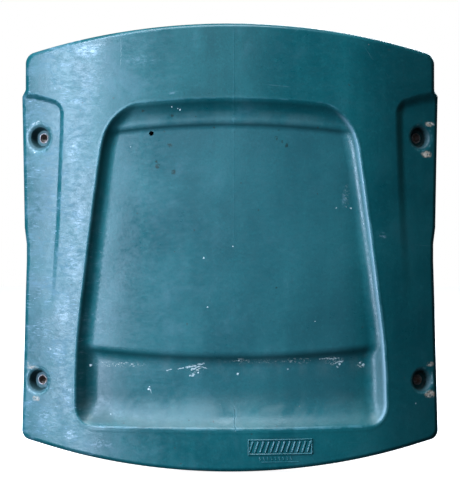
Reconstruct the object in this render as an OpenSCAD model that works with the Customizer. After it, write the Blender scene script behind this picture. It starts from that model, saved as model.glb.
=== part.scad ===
// Stadium seat back: one hollow, double-walled blow-moulded panel with four
// steel compression sleeves. The back bends about a vertical axis in front of
// it, so the rear face is convex and the face the sitter leans on is concave.
// +X is to the right when looking at the rear face, +Z is up, and the rear
// face looks towards -Y. The origin is the bottom centre of the whole part.

/* [Panel] */
// Overall width at the mounting flanges
panel_w = 457; // [440:1:480]
// Overall height on the centre line
panel_h = 472; // [460:1:500]
// Thickness from rear face to front face
panel_t = 30; // [28:0.5:36]
// Radius of the rear face, about a vertical axis in front of the panel
rear_r = 520; // [500:5:600]
// Wall thickness of the moulding
wall = 3; // [2.5:0.1:3.2]
// Radius of the arched top edge
top_arc_r = 985; // [800:5:1400]
// Radius of the arched bottom edge
bottom_arc_r = 920; // [800:5:1400]
// Rounding of the two upper corners
top_corner_r = 12; // [8:0.5:16]
// Rounding of the two lower corners
bottom_corner_r = 10; // [8:0.5:16]

/* [Mounting flanges] */
// How far the flange stands out past the upper side edge
flange_step = 4.8; // [3:0.1:6]
// Height of the flange's top edge above the panel's middle
flange_top = 166; // [160:1:172]
// Height of the flange's lower end above the panel's middle
flange_end = 22; // [10:1:40]
// How deep the upper mounting pad is set into the rear face
pad_depth = 3.6; // [2:0.1:4.5]
// Height at which the mounting pad fades out, below the panel's middle
pad_fade = 62; // [50:1:75]

/* [Rear recess] */
// Half width of the recess at its upper corners
recess_top_half = 119; // [110:1:124]
// Half width of the recess at its lower corners
recess_low_half = 167; // [160:1:170]
// Top edge of the recess above the panel's middle
recess_top = 153.6; // [148:0.2:158]
// Bottom edge of the recess below the panel's middle
recess_low = 190.5; // [185:0.5:196]
// Depth of the narrow upper ledge
ledge_depth = 7; // [5.5:0.1:8]
// Depth of the main floor
floor_depth = 10; // [9:0.1:11.5]
// Depth of the lower scoop
scoop_depth = 16; // [14:0.1:17]
// Radius of the scoop's rising lower wall
scoop_r = 42; // [38:1:46]
// Height of the step into the scoop, below the panel's middle
step_z = 117.4; // [110:0.1:122]
// Depth gained for each mm of run down the side walls
side_slope = 0.95; // [0.8:0.05:1.3]
// Run for each mm of depth down the top wall, the ledge's wall and the step
cross_draft = 1.65; // [1.3:0.05:1.8]

/* [Bolt wells and sleeves] */
// Angle of each bolt well from the panel's centre plane
well_angle = 23.5; // [22.5:0.1:24]
// Height of the upper wells above the panel's middle
well_up = 118.7; // [110:0.1:126]
// Height of the lower wells below the panel's middle
well_down = 143.3; // [136:0.1:150]
// Depth of the upper well floors below the rear face
well_up_depth = 13; // [11:0.1:14]
// Depth of the lower well floors below the rear face
well_down_depth = 10; // [9:0.1:12]
// Radius of the well floor
well_floor_r = 8.8; // [8:0.1:9.5]
// Radius of the neck, where the steep wall meets the conical mouth
well_neck_r = 11.2; // [10.8:0.1:12.5]
// Depth of the conical mouth round the neck
dish_depth = 2.6; // [1.5:0.1:3.5]
// Mouth radius of the upper wells
well_up_r = 15.2; // [14:0.1:16.5]
// Mouth radius of the lower wells
well_down_r = 14.2; // [13:0.1:16]
// Bore radius of a compression sleeve
sleeve_bore_r = 4.35; // [4:0.05:4.7]
// Outside radius of a compression sleeve
sleeve_r = 5.56; // [5.3:0.02:6.4]
// How far a sleeve stands above the well floor
sleeve_proud = 0.5; // [0:0.1:1]

/* [Small features] */
// Diameter of the blow-needle vent hole in the recess floor
vent_d = 5; // [3:0.5:7]
// Height of the raised moulding mark
mark_h = 0.7; // [0.4:0.1:1]
// Number of slanted bars in the moulding mark
mark_bars = 12; // [6:1:16]

/* [Hidden] */

teal = [0.07, 0.33, 0.36];
steel = [0.62, 0.58, 0.54];

half_w = panel_w / 2;
half_h = panel_h / 2;
front_r = rear_r - panel_t;
fit_gap = 0.02;         // between a sleeve and its hole
edge_arc_x = 204;       // half width of the arched top and bottom edges
ring_half_angle = 40;   // reaches past both sides of the panel
ring_over = 20;         // blank rings overrun the panel's top and bottom
cut_rear_y = -60;       // stepped solids end on flat planes, rear ...
blank_front_y = 150;    // ... and front

recess_arc_x = 88;      // half width of the recess's arched top edge
recess_bow_r = 1150;
step_bow_r = 1600;
recess_shrink_h = 172;  // half height the recess outline is shrunk by
ledge_w = 10.5;         // from the recess's top edge down to the main floor's top line
scoop_angle = acos(1 - scoop_depth / scoop_r);
scoop_flat_z = -recess_low + scoop_r * sin(scoop_angle);

vent_x = -83;
vent_z = 120.4;

mark_x = 19.5;          // frame edge nearest the centre
mark_w = 66.5;
mark_z = -half_h + 27.7;
mark_frame_h = 15;
mark_line = 1;          // width of the frame lines
mark_bar_w = 1.6;
mark_bar_gap = 1.6;     // between a bar's end and the frame's centre line
mark_lean = 18;
mark_root = 0.6;        // how far the mark is sunk into the wall
mark_start = asin(mark_x / rear_r);
mark_end = asin((mark_x + mark_w) / rear_r);

// Edge roundings as [radius, offset along Y, shrink], from rear to front
front_rounding = [[front_r, -7, 0], [front_r, -3.8, 0.5], [front_r, -1.6, 1.8]];
panel_steps = concat(
    [[rear_r, -8, 20], [rear_r, 0.35, 5.5], [rear_r, 1.87, 3.3],
     [rear_r, 4, 2], [rear_r, 8, 1.25]],
    front_rounding,
    [[front_r, 8, 14]]);
cavity_steps = [
    [rear_r, -8, 20 + wall],
    [rear_r, wall + 1.5, 5.2 + wall],
    [rear_r, wall + 5.5, 1.9 + wall],
    [front_r, -wall - 4.5, 0.6 + wall],
    [front_r, -wall - 1.3, 2.4 + wall],
    [front_r, 8, 14 + wall]];

// ---- plane curves ------------------------------------------------------
// Depth of the cylinder of radius r at width x, from the apex of the rear face
function face_y(r, x) = rear_r - sqrt(r * r - x * x);
function arc_drop(r, x) = r - sqrt(r * r - x * x);
function unit(v) = v / norm(v);
function wrap_angle(a) = a > 180 ? a - 360 : a <= -180 ? a + 360 : a;
function direction(v) = atan2(v.y, v.x);
function xy(v) = [v[0], v[1]];

// The arc that rounds a corner between its two neighbours
function round_corner(before, corner, after, r, steps) =
    r <= 0 ? [corner] :
    let (to_before = unit(before - corner),
         to_after = unit(after - corner),
         half = acos(to_before * to_after) / 2,
         centre = corner + unit(to_before + to_after) * (r / sin(half)),
         first = corner + to_before * (r / tan(half)),
         last = corner + to_after * (r / tan(half)),
         start = direction(first - centre),
         sweep = wrap_angle(direction(last - centre) - start))
    [for (i = [0:steps]) let (a = start + sweep * i / steps) centre + r * [cos(a), sin(a)]];

// A closed line from [x, z, rounding] corners
function rounded(corners, steps) =
    let (n = len(corners))
    [for (i = [0:n - 1])
        for (p = round_corner(xy(corners[(i + n - 1) % n]), xy(corners[i]),
                              xy(corners[(i + 1) % n]), corners[i][2], steps)) p];

// A line given for x >= 0 from top to bottom, closed by its mirror image
function both_sides(half) = concat(half,
    [for (i = [len(half) - 1:-1:0]) if (half[i][0] > 0.01)
        [-half[i][0], half[i][1], half[i][2]]]);

// Outline of the panel at its parting line, seen along Y
function panel_outline(arc_steps, corner_steps) = rounded(both_sides(concat(
    [for (i = [0:arc_steps]) let (x = edge_arc_x * i / arc_steps)
        [x, half_h - arc_drop(top_arc_r, x), 0]],
    // [x, z, rounding]
    [[half_w - flange_step - 0.1, half_h - arc_drop(top_arc_r, half_w - 6), top_corner_r],
     [half_w - flange_step, flange_top + 6, 2],
     [half_w, flange_top, 3],
     [half_w - 3.3, flange_end, 3],
     [half_w - 5.8, flange_end - 18, 5],
     [half_w - 5.9, flange_end - 36, 0],
     [half_w - 0.4, -half_h + arc_drop(bottom_arc_r, half_w - 3), bottom_corner_r]],
    [for (i = [arc_steps:-1:0]) let (x = edge_arc_x * i / arc_steps)
        [x, -half_h + arc_drop(bottom_arc_r, x), 0]])), corner_steps);

// Outline of the recess at the rear face, pushed outwards by grow
function recess_outline(grow, arc_steps, corner_steps) = rounded(both_sides(concat(
    [for (i = [0:arc_steps]) let (x = recess_arc_x * i / arc_steps)
        [x, recess_top + grow - arc_drop(recess_bow_r, x), 0]],
    // [x, z, rounding]
    [[recess_top_half + grow, recess_top + grow - arc_drop(recess_bow_r, 118), 26],
     [recess_top_half + 16 + grow, 112, 30],
     [recess_top_half + 32 + grow, 3, 60],
     [recess_low_half - 2.6 + grow, -100, 60],
     [recess_low_half + grow, -140, 20],
     [recess_low_half + grow, -recess_low - grow, 22],
     [60, -recess_low - grow, 0],
     [0, -recess_low - grow, 0]])), corner_steps);

// Scale a closed line of half size wide x high so that it shrinks by amount
function shrunk(line, amount, wide, high) =
    [for (p = line) [p[0] * (1 - amount / wide), p[1] * (1 - amount / high)]];

// A plane line as a loop on the cylinder of radius r moved along Y, or on a flat plane
function loop_on(line, r, offset) = [for (p = line) [p[0], face_y(r, p[0]) + offset, p[1]]];
function loop_flat(line, y) = [for (p = line) [p[0], y, p[1]]];

// Radial section for a ring
function band(inner, outer, low, high) =
    [[inner, low], [outer, low], [outer, high], [inner, high]];

// ---- building blocks ---------------------------------------------------
// Stack of closed loops from rear to front, skinned into one solid
module skin(loops) {
    n = len(loops[0]);
    last = len(loops) - 1;
    polyhedron(
        points = [for (loop = loops) for (p = loop) p],
        faces = concat(
            [[for (i = [0:n - 1]) i]],
            [for (j = [0:last - 1]) for (i = [0:n - 1])
                [j * n + i, (j + 1) * n + i, (j + 1) * n + (i + 1) % n]],
            [for (j = [0:last - 1]) for (i = [0:n - 1])
                [j * n + i, (j + 1) * n + (i + 1) % n, j * n + (i + 1) % n]],
            [[for (i = [n - 1:-1:0]) last * n + i]]),
        convexity = 8);
}

// Solid whose section follows [radius, offset along Y, shrink] steps
module stepped_solid(line, steps, wide, high, front_y) {
    lines = [for (s = steps) shrunk(line, s[2], wide, high)];
    last = len(steps) - 1;
    skin(concat([loop_flat(lines[0], cut_rear_y)],
                [for (i = [0:last]) loop_on(lines[i], steps[i][0], steps[i][1])],
                [loop_flat(lines[last], front_y)]));
}

// Sector of a ring about the bend axis, from a profile of [radius, height] points
module ring(profile, start = -ring_half_angle, end = ring_half_angle) {
    translate([0, rear_r, 0]) rotate([0, 0, -90 + start])
        rotate_extrude(angle = end - start, $fn = 180) polygon(profile);
}

// Places a child whose +Z points out of the rear face, at an angle and height
module on_rear(angle, z, depth) {
    translate([0, rear_r, z]) rotate([0, 0, angle]) translate([0, -(rear_r - depth), 0])
        rotate([90, 0, 0]) children();
}

// ---- blanks ------------------------------------------------------------
// Bent slab, inset from both faces, with its edge shaped by steps
module blank(inset, outline, steps) {
    intersection() {
        ring(band(front_r + inset, rear_r - inset, -half_h - ring_over, half_h + ring_over));
        stepped_solid(outline, steps, half_w, half_h, blank_front_y);
    }
}

module panel_blank() { blank(0, panel_outline(9, 5), panel_steps); }
module cavity_blank() { blank(wall, panel_outline(6, 3), cavity_steps); }

// ---- rear recess -------------------------------------------------------
// In this and the following cutters, grow adds the moulded wall round the pocket.

// Drafted side walls of the recess
module recess_sides(grow, arc_steps, corner_steps) {
    deep = scoop_depth + 6 + grow;
    stepped_solid(recess_outline(grow, arc_steps, corner_steps),
        [[rear_r, -6, -6],
         [rear_r, -0.35, -1.2],
         [rear_r, 1.5, 1.2],
         [rear_r, deep, 1.2 + (deep - 1.5) / side_slope]],
        recess_low_half, recess_shrink_h, 100);
}

// Space below a bowed line at height top_z on the centre, which falls by
// cross_draft with depth. A positive bow arches up, a negative one sags.
module below_line(top_z, bow, deep, low_z) {
    half_span = 208;
    above = 10;
    end_depth = deep + 4.1;
    function line_at(depth) = concat(
        [for (i = [-8:8]) let (x = half_span * i / 8)
            [x, top_z - depth * cross_draft - sign(bow) * arc_drop(abs(bow), x)]],
        [[half_span, low_z], [-half_span, low_z]]);
    skin([loop_flat(line_at(-above), cut_rear_y),
          loop_on(line_at(-above), rear_r, -above),
          loop_on(line_at(end_depth), rear_r, end_depth),
          loop_flat(line_at(end_depth), 120)]);
}

// Growth of a drafted cross wall, measured along Z
function cross_grow(grow) = sqrt(1 + cross_draft * cross_draft) * grow;

module recess_ledge(grow) {
    ring(band(rear_r - ledge_depth - grow, rear_r + 10, scoop_flat_z - 2, recess_top + 20));
}

module recess_floor(grow) {
    intersection() {
        ring(band(rear_r - floor_depth - grow, rear_r + 10, scoop_flat_z - 4, recess_top + 20));
        below_line(recess_top - ledge_w + cross_grow(grow), recess_bow_r, floor_depth, -half_h);
    }
}

// Flat bottom, then a circular wall that rises to the rear face
module recess_scoop(grow) {
    bottom_r = rear_r - scoop_depth;
    over_z = -step_z + 22;
    wall_steps = 10;
    intersection() {
        ring(concat(
            [[rear_r + 10, over_z], [bottom_r - grow, over_z], [bottom_r - grow, scoop_flat_z]],
            [for (i = [1:wall_steps]) let (a = i / wall_steps * scoop_angle)
                [bottom_r + scoop_r - (scoop_r + grow) * cos(a),
                 scoop_flat_z - (scoop_r + grow) * sin(a)]],
            [[rear_r + 10, -recess_low - grow - 8]]));
        below_line(-step_z + cross_draft * (floor_depth + scoop_depth) / 2 + cross_grow(grow),
                   -step_bow_r, scoop_depth, -half_h);
    }
}

module recess(grow = 0, arc_steps = 6, corner_steps = 5) {
    intersection() {
        recess_sides(1.4 * grow, arc_steps, corner_steps);
        below_line(recess_top + 1 + cross_grow(grow), recess_bow_r, ledge_depth, -half_h - 40);
        union() {
            recess_ledge(grow);
            recess_floor(grow);
            recess_scoop(grow);
        }
    }
}

// ---- mounting pads -----------------------------------------------------
// Space cut for the upper mounting pad on the +X side
module pad_space(grow) {
    outer_x = 250;
    over_r = rear_r + 12;
    floor_r = rear_r - pad_depth - grow;
    fade_z = -pad_fade - 4;
    // [x, z, rounding]
    line = rounded([
        [outer_x, flange_top + 0.8 + grow, 0],
        [217, flange_top - 0.8 + grow, 0],
        [204, flange_top - 3.6 + grow, 0],
        [180.5 - grow, flange_top - 11.5 + grow, 9],
        [179.5 - grow, 124, 0],
        [183.2 - grow, 27, 0],
        [189.5 - grow, -pad_fade - 9, 0],
        [outer_x, -pad_fade - 9, 0]], 6);
    intersection() {
        ring([[over_r, fade_z], [rear_r + 0.07 - grow, fade_z],
              [floor_r, flange_top - 20], [floor_r, flange_top + 14],
              [over_r, flange_top + 14]]);
        rotate([90, 0, 0]) translate([0, 0, -160]) linear_extrude(height = 200) polygon(line);
    }
}

module pad_spaces(grow = 0) {
    pad_space(grow);
    mirror([1, 0, 0]) pad_space(grow);
}

// ---- bolt wells --------------------------------------------------------
// Well that gives the bolt head room: a steep wall with a wider conical mouth.
// The grown steep wall clears the mouth too, so it needs no mouth of its own.
module well(angle, z, mouth_r, mouth_depth, deep, grow) {
    neck_depth = mouth_depth + dish_depth;
    wall_flare = (well_neck_r - well_floor_r) / (deep - neck_depth);
    wall_h = deep + grow + 6;
    mouth_flare = (mouth_r - well_neck_r) / dish_depth;
    mouth_h = neck_depth + 0.6;
    on_rear(angle, z, deep + grow)
        cylinder(h = wall_h, r1 = well_floor_r + grow,
                 r2 = well_floor_r + grow + wall_flare * wall_h, $fn = 72);
    if (grow == 0) on_rear(angle, z, neck_depth)
        cylinder(h = mouth_h, r1 = well_neck_r, r2 = well_neck_r + mouth_flare * mouth_h,
                 $fn = 72);
}

module wells(grow = 0) {
    for (side = [-1, 1]) {
        well(side * well_angle, well_up, well_up_r, pad_depth - 0.5, well_up_depth, grow);
        well(side * well_angle, -well_down, well_down_r, 0, well_down_depth, grow);
    }
}

module sleeve_holes() {
    for (side = [-1, 1], z = [well_up, -well_down])
        on_rear(side * well_angle, z, panel_t + 8)
            cylinder(h = panel_t + 2, r = sleeve_r + fit_gap, $fn = 72);
}

module vent_hole() {
    on_rear(asin(vent_x / rear_r), vent_z, floor_depth + wall + 2)
        cylinder(h = wall + 6, d = vent_d, $fn = 36);
}

// Hollow inside the two walls
module cavity() {
    difference() {
        cavity_blank();
        recess(wall, 4, 3);
        pad_spaces(wall);
        wells(wall);
    }
}

// Raised moulding mark: a thin frame filled with plain slanted bars
module moulding_mark() {
    pitch = (mark_end - mark_start) / mark_bars;
    height = mark_h + mark_root;
    half_frame = mark_frame_h / 2;
    half_line = mark_line / 2;
    for (i = [0:mark_bars - 1])
        on_rear(mark_start + (i + 0.5) * pitch, mark_z, mark_root)
            rotate([0, 0, -mark_lean])
                translate([-mark_bar_w / 2, -half_frame + mark_bar_gap, 0])
                    cube([mark_bar_w, mark_frame_h - 2 * mark_bar_gap, height]);
    for (angle = [mark_start, mark_end])
        on_rear(angle, mark_z, mark_root) translate([-half_line, -half_frame, 0])
            cube([mark_line, mark_frame_h, height]);
    for (z = [mark_z - half_frame, mark_z + half_frame])
        ring(band(rear_r - mark_root, rear_r + mark_h, z - half_line, z + half_line),
             mark_start, mark_end);
}

// ---- placing -----------------------------------------------------------
// Furthest points of the front edge and of the raised mark, used to put the
// origin in mid-depth. The last point is where the rounding meets the front face.
front_edge_y = max([for (s = concat(front_rounding, [[front_r, 0, 3.83]]))
    face_y(s[0], half_w - s[2]) + s[1]]);
mark_y = rear_r - (rear_r + mark_h) * cos(mark_start) - mark_line / 2 * sin(mark_start);

module placed() {
    translate([0, -(front_edge_y + mark_y) / 2, half_h]) children();
}

module seat_back_shell() {
    color(teal) placed() difference() {
        union() {
            difference() {
                panel_blank();
                recess();
                pad_spaces();
            }
            moulding_mark();
        }
        cavity();
        wells();
        sleeve_holes();
        vent_hole();
    }
}

// Plain steel tube from the front face to just above the well floor
module sleeve(angle, z, well_depth) {
    length = panel_t - well_depth + sleeve_proud;
    color(steel) placed() on_rear(angle, z, panel_t) difference() {
        cylinder(h = length, r = sleeve_r, $fn = 72);
        translate([0, 0, -1]) cylinder(h = length + 2, r = sleeve_bore_r, $fn = 72);
    }
}

module sleeve_upper_left() { sleeve(-well_angle, well_up, well_up_depth); }
module sleeve_upper_right() { sleeve(well_angle, well_up, well_up_depth); }
module sleeve_lower_left() { sleeve(-well_angle, -well_down, well_down_depth); }
module sleeve_lower_right() { sleeve(well_angle, -well_down, well_down_depth); }

seat_back_shell();
sleeve_upper_left();
sleeve_upper_right();
sleeve_lower_left();
sleeve_lower_right();
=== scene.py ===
"""Moulded seat back shell: a bent, hollow plastic panel with four steel sleeves.

It stands upright on z = 0 with x across. The rear face bulges toward -y, where the camera is,
and carries a stepped recess, two upper mounting pads and four round wells, one per sleeve.

Shapes are worked out in mm: x across, y from the rear face's apex into the panel, z up from
the panel's middle. "arc" is the length round the rear bend, "depth" goes in from the rear face,
and "inset" moves a surface inside the wall by that much.
"""
import math
from collections import namedtuple

import bpy
import bmesh
import numpy as np
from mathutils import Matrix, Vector
from mathutils.geometry import delaunay_2d_cdt
from mathutils.kdtree import KDTree


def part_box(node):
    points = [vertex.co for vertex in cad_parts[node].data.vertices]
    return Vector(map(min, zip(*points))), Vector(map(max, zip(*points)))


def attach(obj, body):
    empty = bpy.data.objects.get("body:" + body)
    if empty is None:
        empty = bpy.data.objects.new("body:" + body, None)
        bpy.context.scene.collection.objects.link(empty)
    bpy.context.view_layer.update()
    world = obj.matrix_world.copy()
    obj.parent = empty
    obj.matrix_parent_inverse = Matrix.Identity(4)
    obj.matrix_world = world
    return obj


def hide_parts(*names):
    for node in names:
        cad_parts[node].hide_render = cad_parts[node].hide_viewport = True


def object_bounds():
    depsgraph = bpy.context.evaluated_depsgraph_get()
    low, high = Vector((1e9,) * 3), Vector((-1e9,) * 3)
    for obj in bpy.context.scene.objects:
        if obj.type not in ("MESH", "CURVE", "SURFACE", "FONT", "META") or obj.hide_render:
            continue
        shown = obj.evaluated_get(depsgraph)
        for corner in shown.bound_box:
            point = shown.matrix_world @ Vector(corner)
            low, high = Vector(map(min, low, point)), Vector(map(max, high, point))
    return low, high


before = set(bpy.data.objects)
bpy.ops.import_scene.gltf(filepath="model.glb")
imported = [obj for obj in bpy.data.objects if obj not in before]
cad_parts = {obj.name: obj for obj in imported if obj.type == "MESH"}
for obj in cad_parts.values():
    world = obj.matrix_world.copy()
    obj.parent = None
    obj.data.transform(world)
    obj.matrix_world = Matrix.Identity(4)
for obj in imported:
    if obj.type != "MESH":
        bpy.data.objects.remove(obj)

cad_lo, cad_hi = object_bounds()

# --------------------------------------------------------------------------
# Driving dimensions
# --------------------------------------------------------------------------
WIDTH_TRIM = 0.025
shell_lo, shell_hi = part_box("seat_back_shell")
HALF_W = (shell_hi.x - shell_lo.x) * 500 + WIDTH_TRIM
HALF_H = (shell_hi.z - shell_lo.z) * 500
PANEL_T = 30.0
REAR_R = 520.0
FRONT_R = REAR_R - PANEL_T

# The raised moulding mark: angles of its two ends round the bend, height and relief
MARK_START = math.asin(19.5 / REAR_R)
MARK_END = math.asin(86.0 / REAR_R)
MARK_ARC0, MARK_ARC1 = REAR_R * MARK_START, REAR_R * MARK_END
MARK_Z = -HALF_H + 27.7
MARK_H = 0.7

# The near end of the mark is what reaches the frame's lowest y
APEX_ALLOWANCE = 0.5
APEX_Y = shell_lo.y * 1000 - (REAR_R - (REAR_R + MARK_H) * math.cos(MARK_START)
                              - APEX_ALLOWANCE * math.sin(MARK_START))

SEAM_ARC = 3.8          # thin upright ridge near the middle
VENT_ARC, VENT_Z, VENT_R = REAR_R * -math.asin(83 / REAR_R), 120.4, 2.5
CAVITY_WALL = 3.0

BED_R = 8.8             # flat bed of a well
NECK_R = 11.2           # where a well's cone meets its steep wall
CONE_DEPTH = 1.6
BORE_R = 5.58
SLEEVE_PROUD = 0.5      # how far a sleeve stands out of the bed

# mouth is a well's outer radius, lip the cone's depth there, bed the depth of the flat
Well = namedtuple("Well", "name angle z mouth lip bed")


def place_well(name):
    """A well round the middle of its sleeve."""
    low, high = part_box(name)
    x, z = (low.x + high.x) * 500, (low.z + high.z) * 500
    left = x < 0
    if z > HALF_H:
        mouth, lip, bed = (15.2 if left else 14.2), 3.1, 13.0
    else:
        mouth, lip, bed = (14.5 if left else 13.6), 0.0, 10.0
    angle = math.asin(x / (REAR_R - (PANEL_T - SLEEVE_PROUD + bed) / 2))
    return Well(name, angle, z - HALF_H, mouth, lip, bed)


WELLS = [place_well("sleeve_" + place)
         for place in ("upper_left", "upper_right", "lower_left", "lower_right")]


# --------------------------------------------------------------------------
# Shaping functions
# --------------------------------------------------------------------------
def smooth_min(a, b, blend):
    h = np.clip(blend - np.abs(a - b), 0, None) / blend
    return np.minimum(a, b) - h * h * blend / 4


def smooth_max(a, b, blend):
    return -smooth_min(-a, -b, blend)


def smooth_step(start, end, value):
    t = np.clip((value - start) / (end - start), 0, 1)
    return t * t * (3 - 2 * t)


def sag(radius, x):
    """How far an arc falls away from its tangent at x."""
    return radius - np.sqrt(np.maximum(radius * radius - x * x, 1.0))


def waviness(arc, z, scale, seed, octaves=2):
    """Smooth, repeatable waviness: a sum of sines in seeded directions."""
    draw = np.random.default_rng(seed)
    out = np.zeros_like(arc)
    for octave in range(octaves):
        for _ in range(6):
            turn, phase = draw.uniform(0, 2 * math.pi, 2)
            freq = 2 * math.pi / (scale / 2 ** octave) * draw.uniform(0.7, 1.35)
            along_wave = arc * math.cos(turn) + z * math.sin(turn)
            out = out + np.sin(freq * along_wave + phase) / 2 ** octave
    return out / 3.2


def to_metres(points):
    return (points + [0, APEX_Y, HALF_H]) * 0.001


# --------------------------------------------------------------------------
# Recess in the rear face
# --------------------------------------------------------------------------
TOP_BOW = 1150          # radius of the recess's upper edge and ledge
STEP_BOW = 1600         # radius of the lower step
RIM_TOP, RIM_LOW = 154.2, -190.7
# how far the side, top and bottom walls move for each mm of inset
SIDE_SHIFT, TOP_SHIFT, LOW_SHIFT = 1.4, 1.93, 1.2
LEDGE_D, MAIN_D, LOWER_D = 7.0, 10.0, 16.0      # floor depths, from the top down
LEDGE_Z, STEP_Z, STEP_SLOPE = 143.1, -95.9, 1.65
SCOOP_Z, SCOOP_R, SCOOP_RAMP = -157.5, 42.0, 1.85

# (z, half width), softened below where the sides bend
RECESS_WIDTH = np.array([
    (-330, 168.4), (-190.5, 167.4), (-140, 166.6), (-100, 164.2), (3, 151), (112, 135.5),
    (153.6, 120), (330, 40)], float)
KERNEL_REACH, WIDTH_STEP, WIDTH_SOFTNESS = 48, 0.5, 9.0
WIDTH_Z = np.arange(-320.0, 320.0, WIDTH_STEP)
kernel = np.exp(-0.5 * (np.arange(-KERNEL_REACH, KERNEL_REACH + 1)
                        * WIDTH_STEP / WIDTH_SOFTNESS) ** 2)
sharp_width = np.interp(WIDTH_Z, RECESS_WIDTH[:, 0], RECESS_WIDTH[:, 1])
SOFT_WIDTH = np.convolve(np.pad(sharp_width, KERNEL_REACH, mode="edge"),
                         kernel / kernel.sum(), mode="valid")
WIDTH_SLOPE = np.gradient(SOFT_WIDTH, WIDTH_Z)


def corner(a, b, radius, slope_a, slope_b, blend=60):
    """Distance inside two walls meeting in a rounded corner, and the wall's slope there."""
    u, w = np.maximum(radius - a, 0), np.maximum(radius - b, 0)
    q = u * u + w * w
    slope = (slope_a * (q - w * w + blend) + slope_b * w * w) / (q + blend)
    return np.where(q > 0, radius - np.sqrt(q), np.minimum(a, b)), slope


def recess_wall(x, z, inset):
    """Distance inside the rim, and the depth of its drafted walls as if they had no floor."""
    width = np.interp(z, WIDTH_Z, SOFT_WIDTH)
    lean = 1 / np.sqrt(1 + np.interp(z, WIDTH_Z, WIDTH_SLOPE) ** 2)
    # the left side is pinched in toward the bottom
    nip = np.interp(z, [-170, -60, 50, 120], [2.7, 1.0, 0.2, 0.0]) * (x < 0) * (inset == 0)
    side = (width - nip + SIDE_SHIFT * inset - np.abs(x)) * lean / (0.42 + 0.58 * width / 167)
    top = RIM_TOP + TOP_SHIFT * inset - sag(TOP_BOW, x) - z
    low = (z - RIM_LOW + LOW_SHIFT * inset) / 1.1
    upper, upper_slope = corner(side, top, 27.0, slope_a=1.02, slope_b=0.62)
    inside_rim, slope = corner(upper, low, 22.0, slope_a=upper_slope, slope_b=1.6)
    return inside_rim, (inside_rim + 0.2) * slope


def recess_floor(x, z, inset):
    """Radial depth of the ledge, the main floor, the lower floor and the scoop."""
    shift = TOP_SHIFT * inset
    ledge_step = (LEDGE_Z + shift - sag(TOP_BOW, x) - z) / STEP_SLOPE
    lower_step = (STEP_Z + shift + sag(STEP_BOW, x) - z) / STEP_SLOPE
    floor_d = smooth_max(LEDGE_D + inset, smooth_min(ledge_step, MAIN_D + inset, 1.5), 1.7)
    floor_d = smooth_max(floor_d, smooth_min(lower_step, LOWER_D + inset, 3.2), 2.2)
    radius = SCOOP_R + inset
    below = np.maximum(SCOOP_Z - z, 0)
    curved = np.minimum(below, 0.88 * radius)
    ramp = (LOWER_D - SCOOP_R + np.sqrt(radius * radius - curved * curved)
            - SCOOP_RAMP * (below - curved))
    return np.minimum(floor_d, ramp)


def recess(x, z, inset):
    """Depth of the recess along y."""
    floor_d = recess_floor(x, z, inset)
    floor_y = (np.sqrt(REAR_R ** 2 - x ** 2)
               - np.sqrt(np.maximum((REAR_R - floor_d), 1) ** 2 - x ** 2))
    inside_rim, wall_y = recess_wall(x, z, inset)
    depth = smooth_min(wall_y, floor_y, 7.5)
    # the rim stands very slightly proud of the face
    proud = 0.16 * np.exp(-((inside_rim + 2.0) / 1.5) ** 2) * (inset == 0)
    return smooth_max(0.0, depth, 1.8) - proud


# --------------------------------------------------------------------------
# Mounting pads, wells and relief of the rear face
# --------------------------------------------------------------------------
PAD_D = 3.6
PAD_FOOT, PAD_RUN = -66, 212        # the pads deepen upward from the foot over this run
PAD_CORNER = 10.0


def pad_inside(x, z):
    """Distance inside a pad's inner side and upper edge, with their corner rounded."""
    across = np.abs(x)
    side_x = np.interp(z, [-80, -71, 27, 124, 200], [190.1, 189.5, 183.2, 179.5, 178.2])
    top_z = np.interp(across, [170, 180.5, 204, 217, 250], [150.9, 154.5, 162.4, 165.2, 166.8])
    side, top = across - side_x, (top_z - z) * 0.94
    u, w = np.maximum(PAD_CORNER - side, 0), np.maximum(PAD_CORNER - top, 0)
    return np.where((u > 0) | (w > 0), PAD_CORNER - np.hypot(u, w), np.minimum(side, top))


def pad(x, z):
    """Radial depth of the two upper mounting pads."""
    depth = smooth_min(PAD_D * np.clip((z - PAD_FOOT) / PAD_RUN, 0, 1), PAD_D, 0.8)
    softness = np.where(x > 0, 1.4, 0.75)      # the step is softer on the right
    return depth * smooth_step(-2.6 * softness, 5.8 * softness, pad_inside(x, z))


def well_depth(radius, well):
    """A conical mouth, then a steep wall down to the flat bed."""
    cone = well.lip + (well.mouth - radius) * CONE_DEPTH / (well.mouth - NECK_R)
    steep = well.bed - (radius - BED_R) * (well.bed - well.lip - CONE_DEPTH) / (NECK_R - BED_R)
    return smooth_max(cone, smooth_min(well.bed, steep, 1.6), 1.3)


def stamp(u, w, half_u, half_w, soft=(-0.3, 0.4)):
    """1 inside a soft-edged rectangle, 0 outside."""
    return 1 - smooth_step(*soft, np.maximum(np.abs(u) - half_u, np.abs(w) - half_w))


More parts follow.
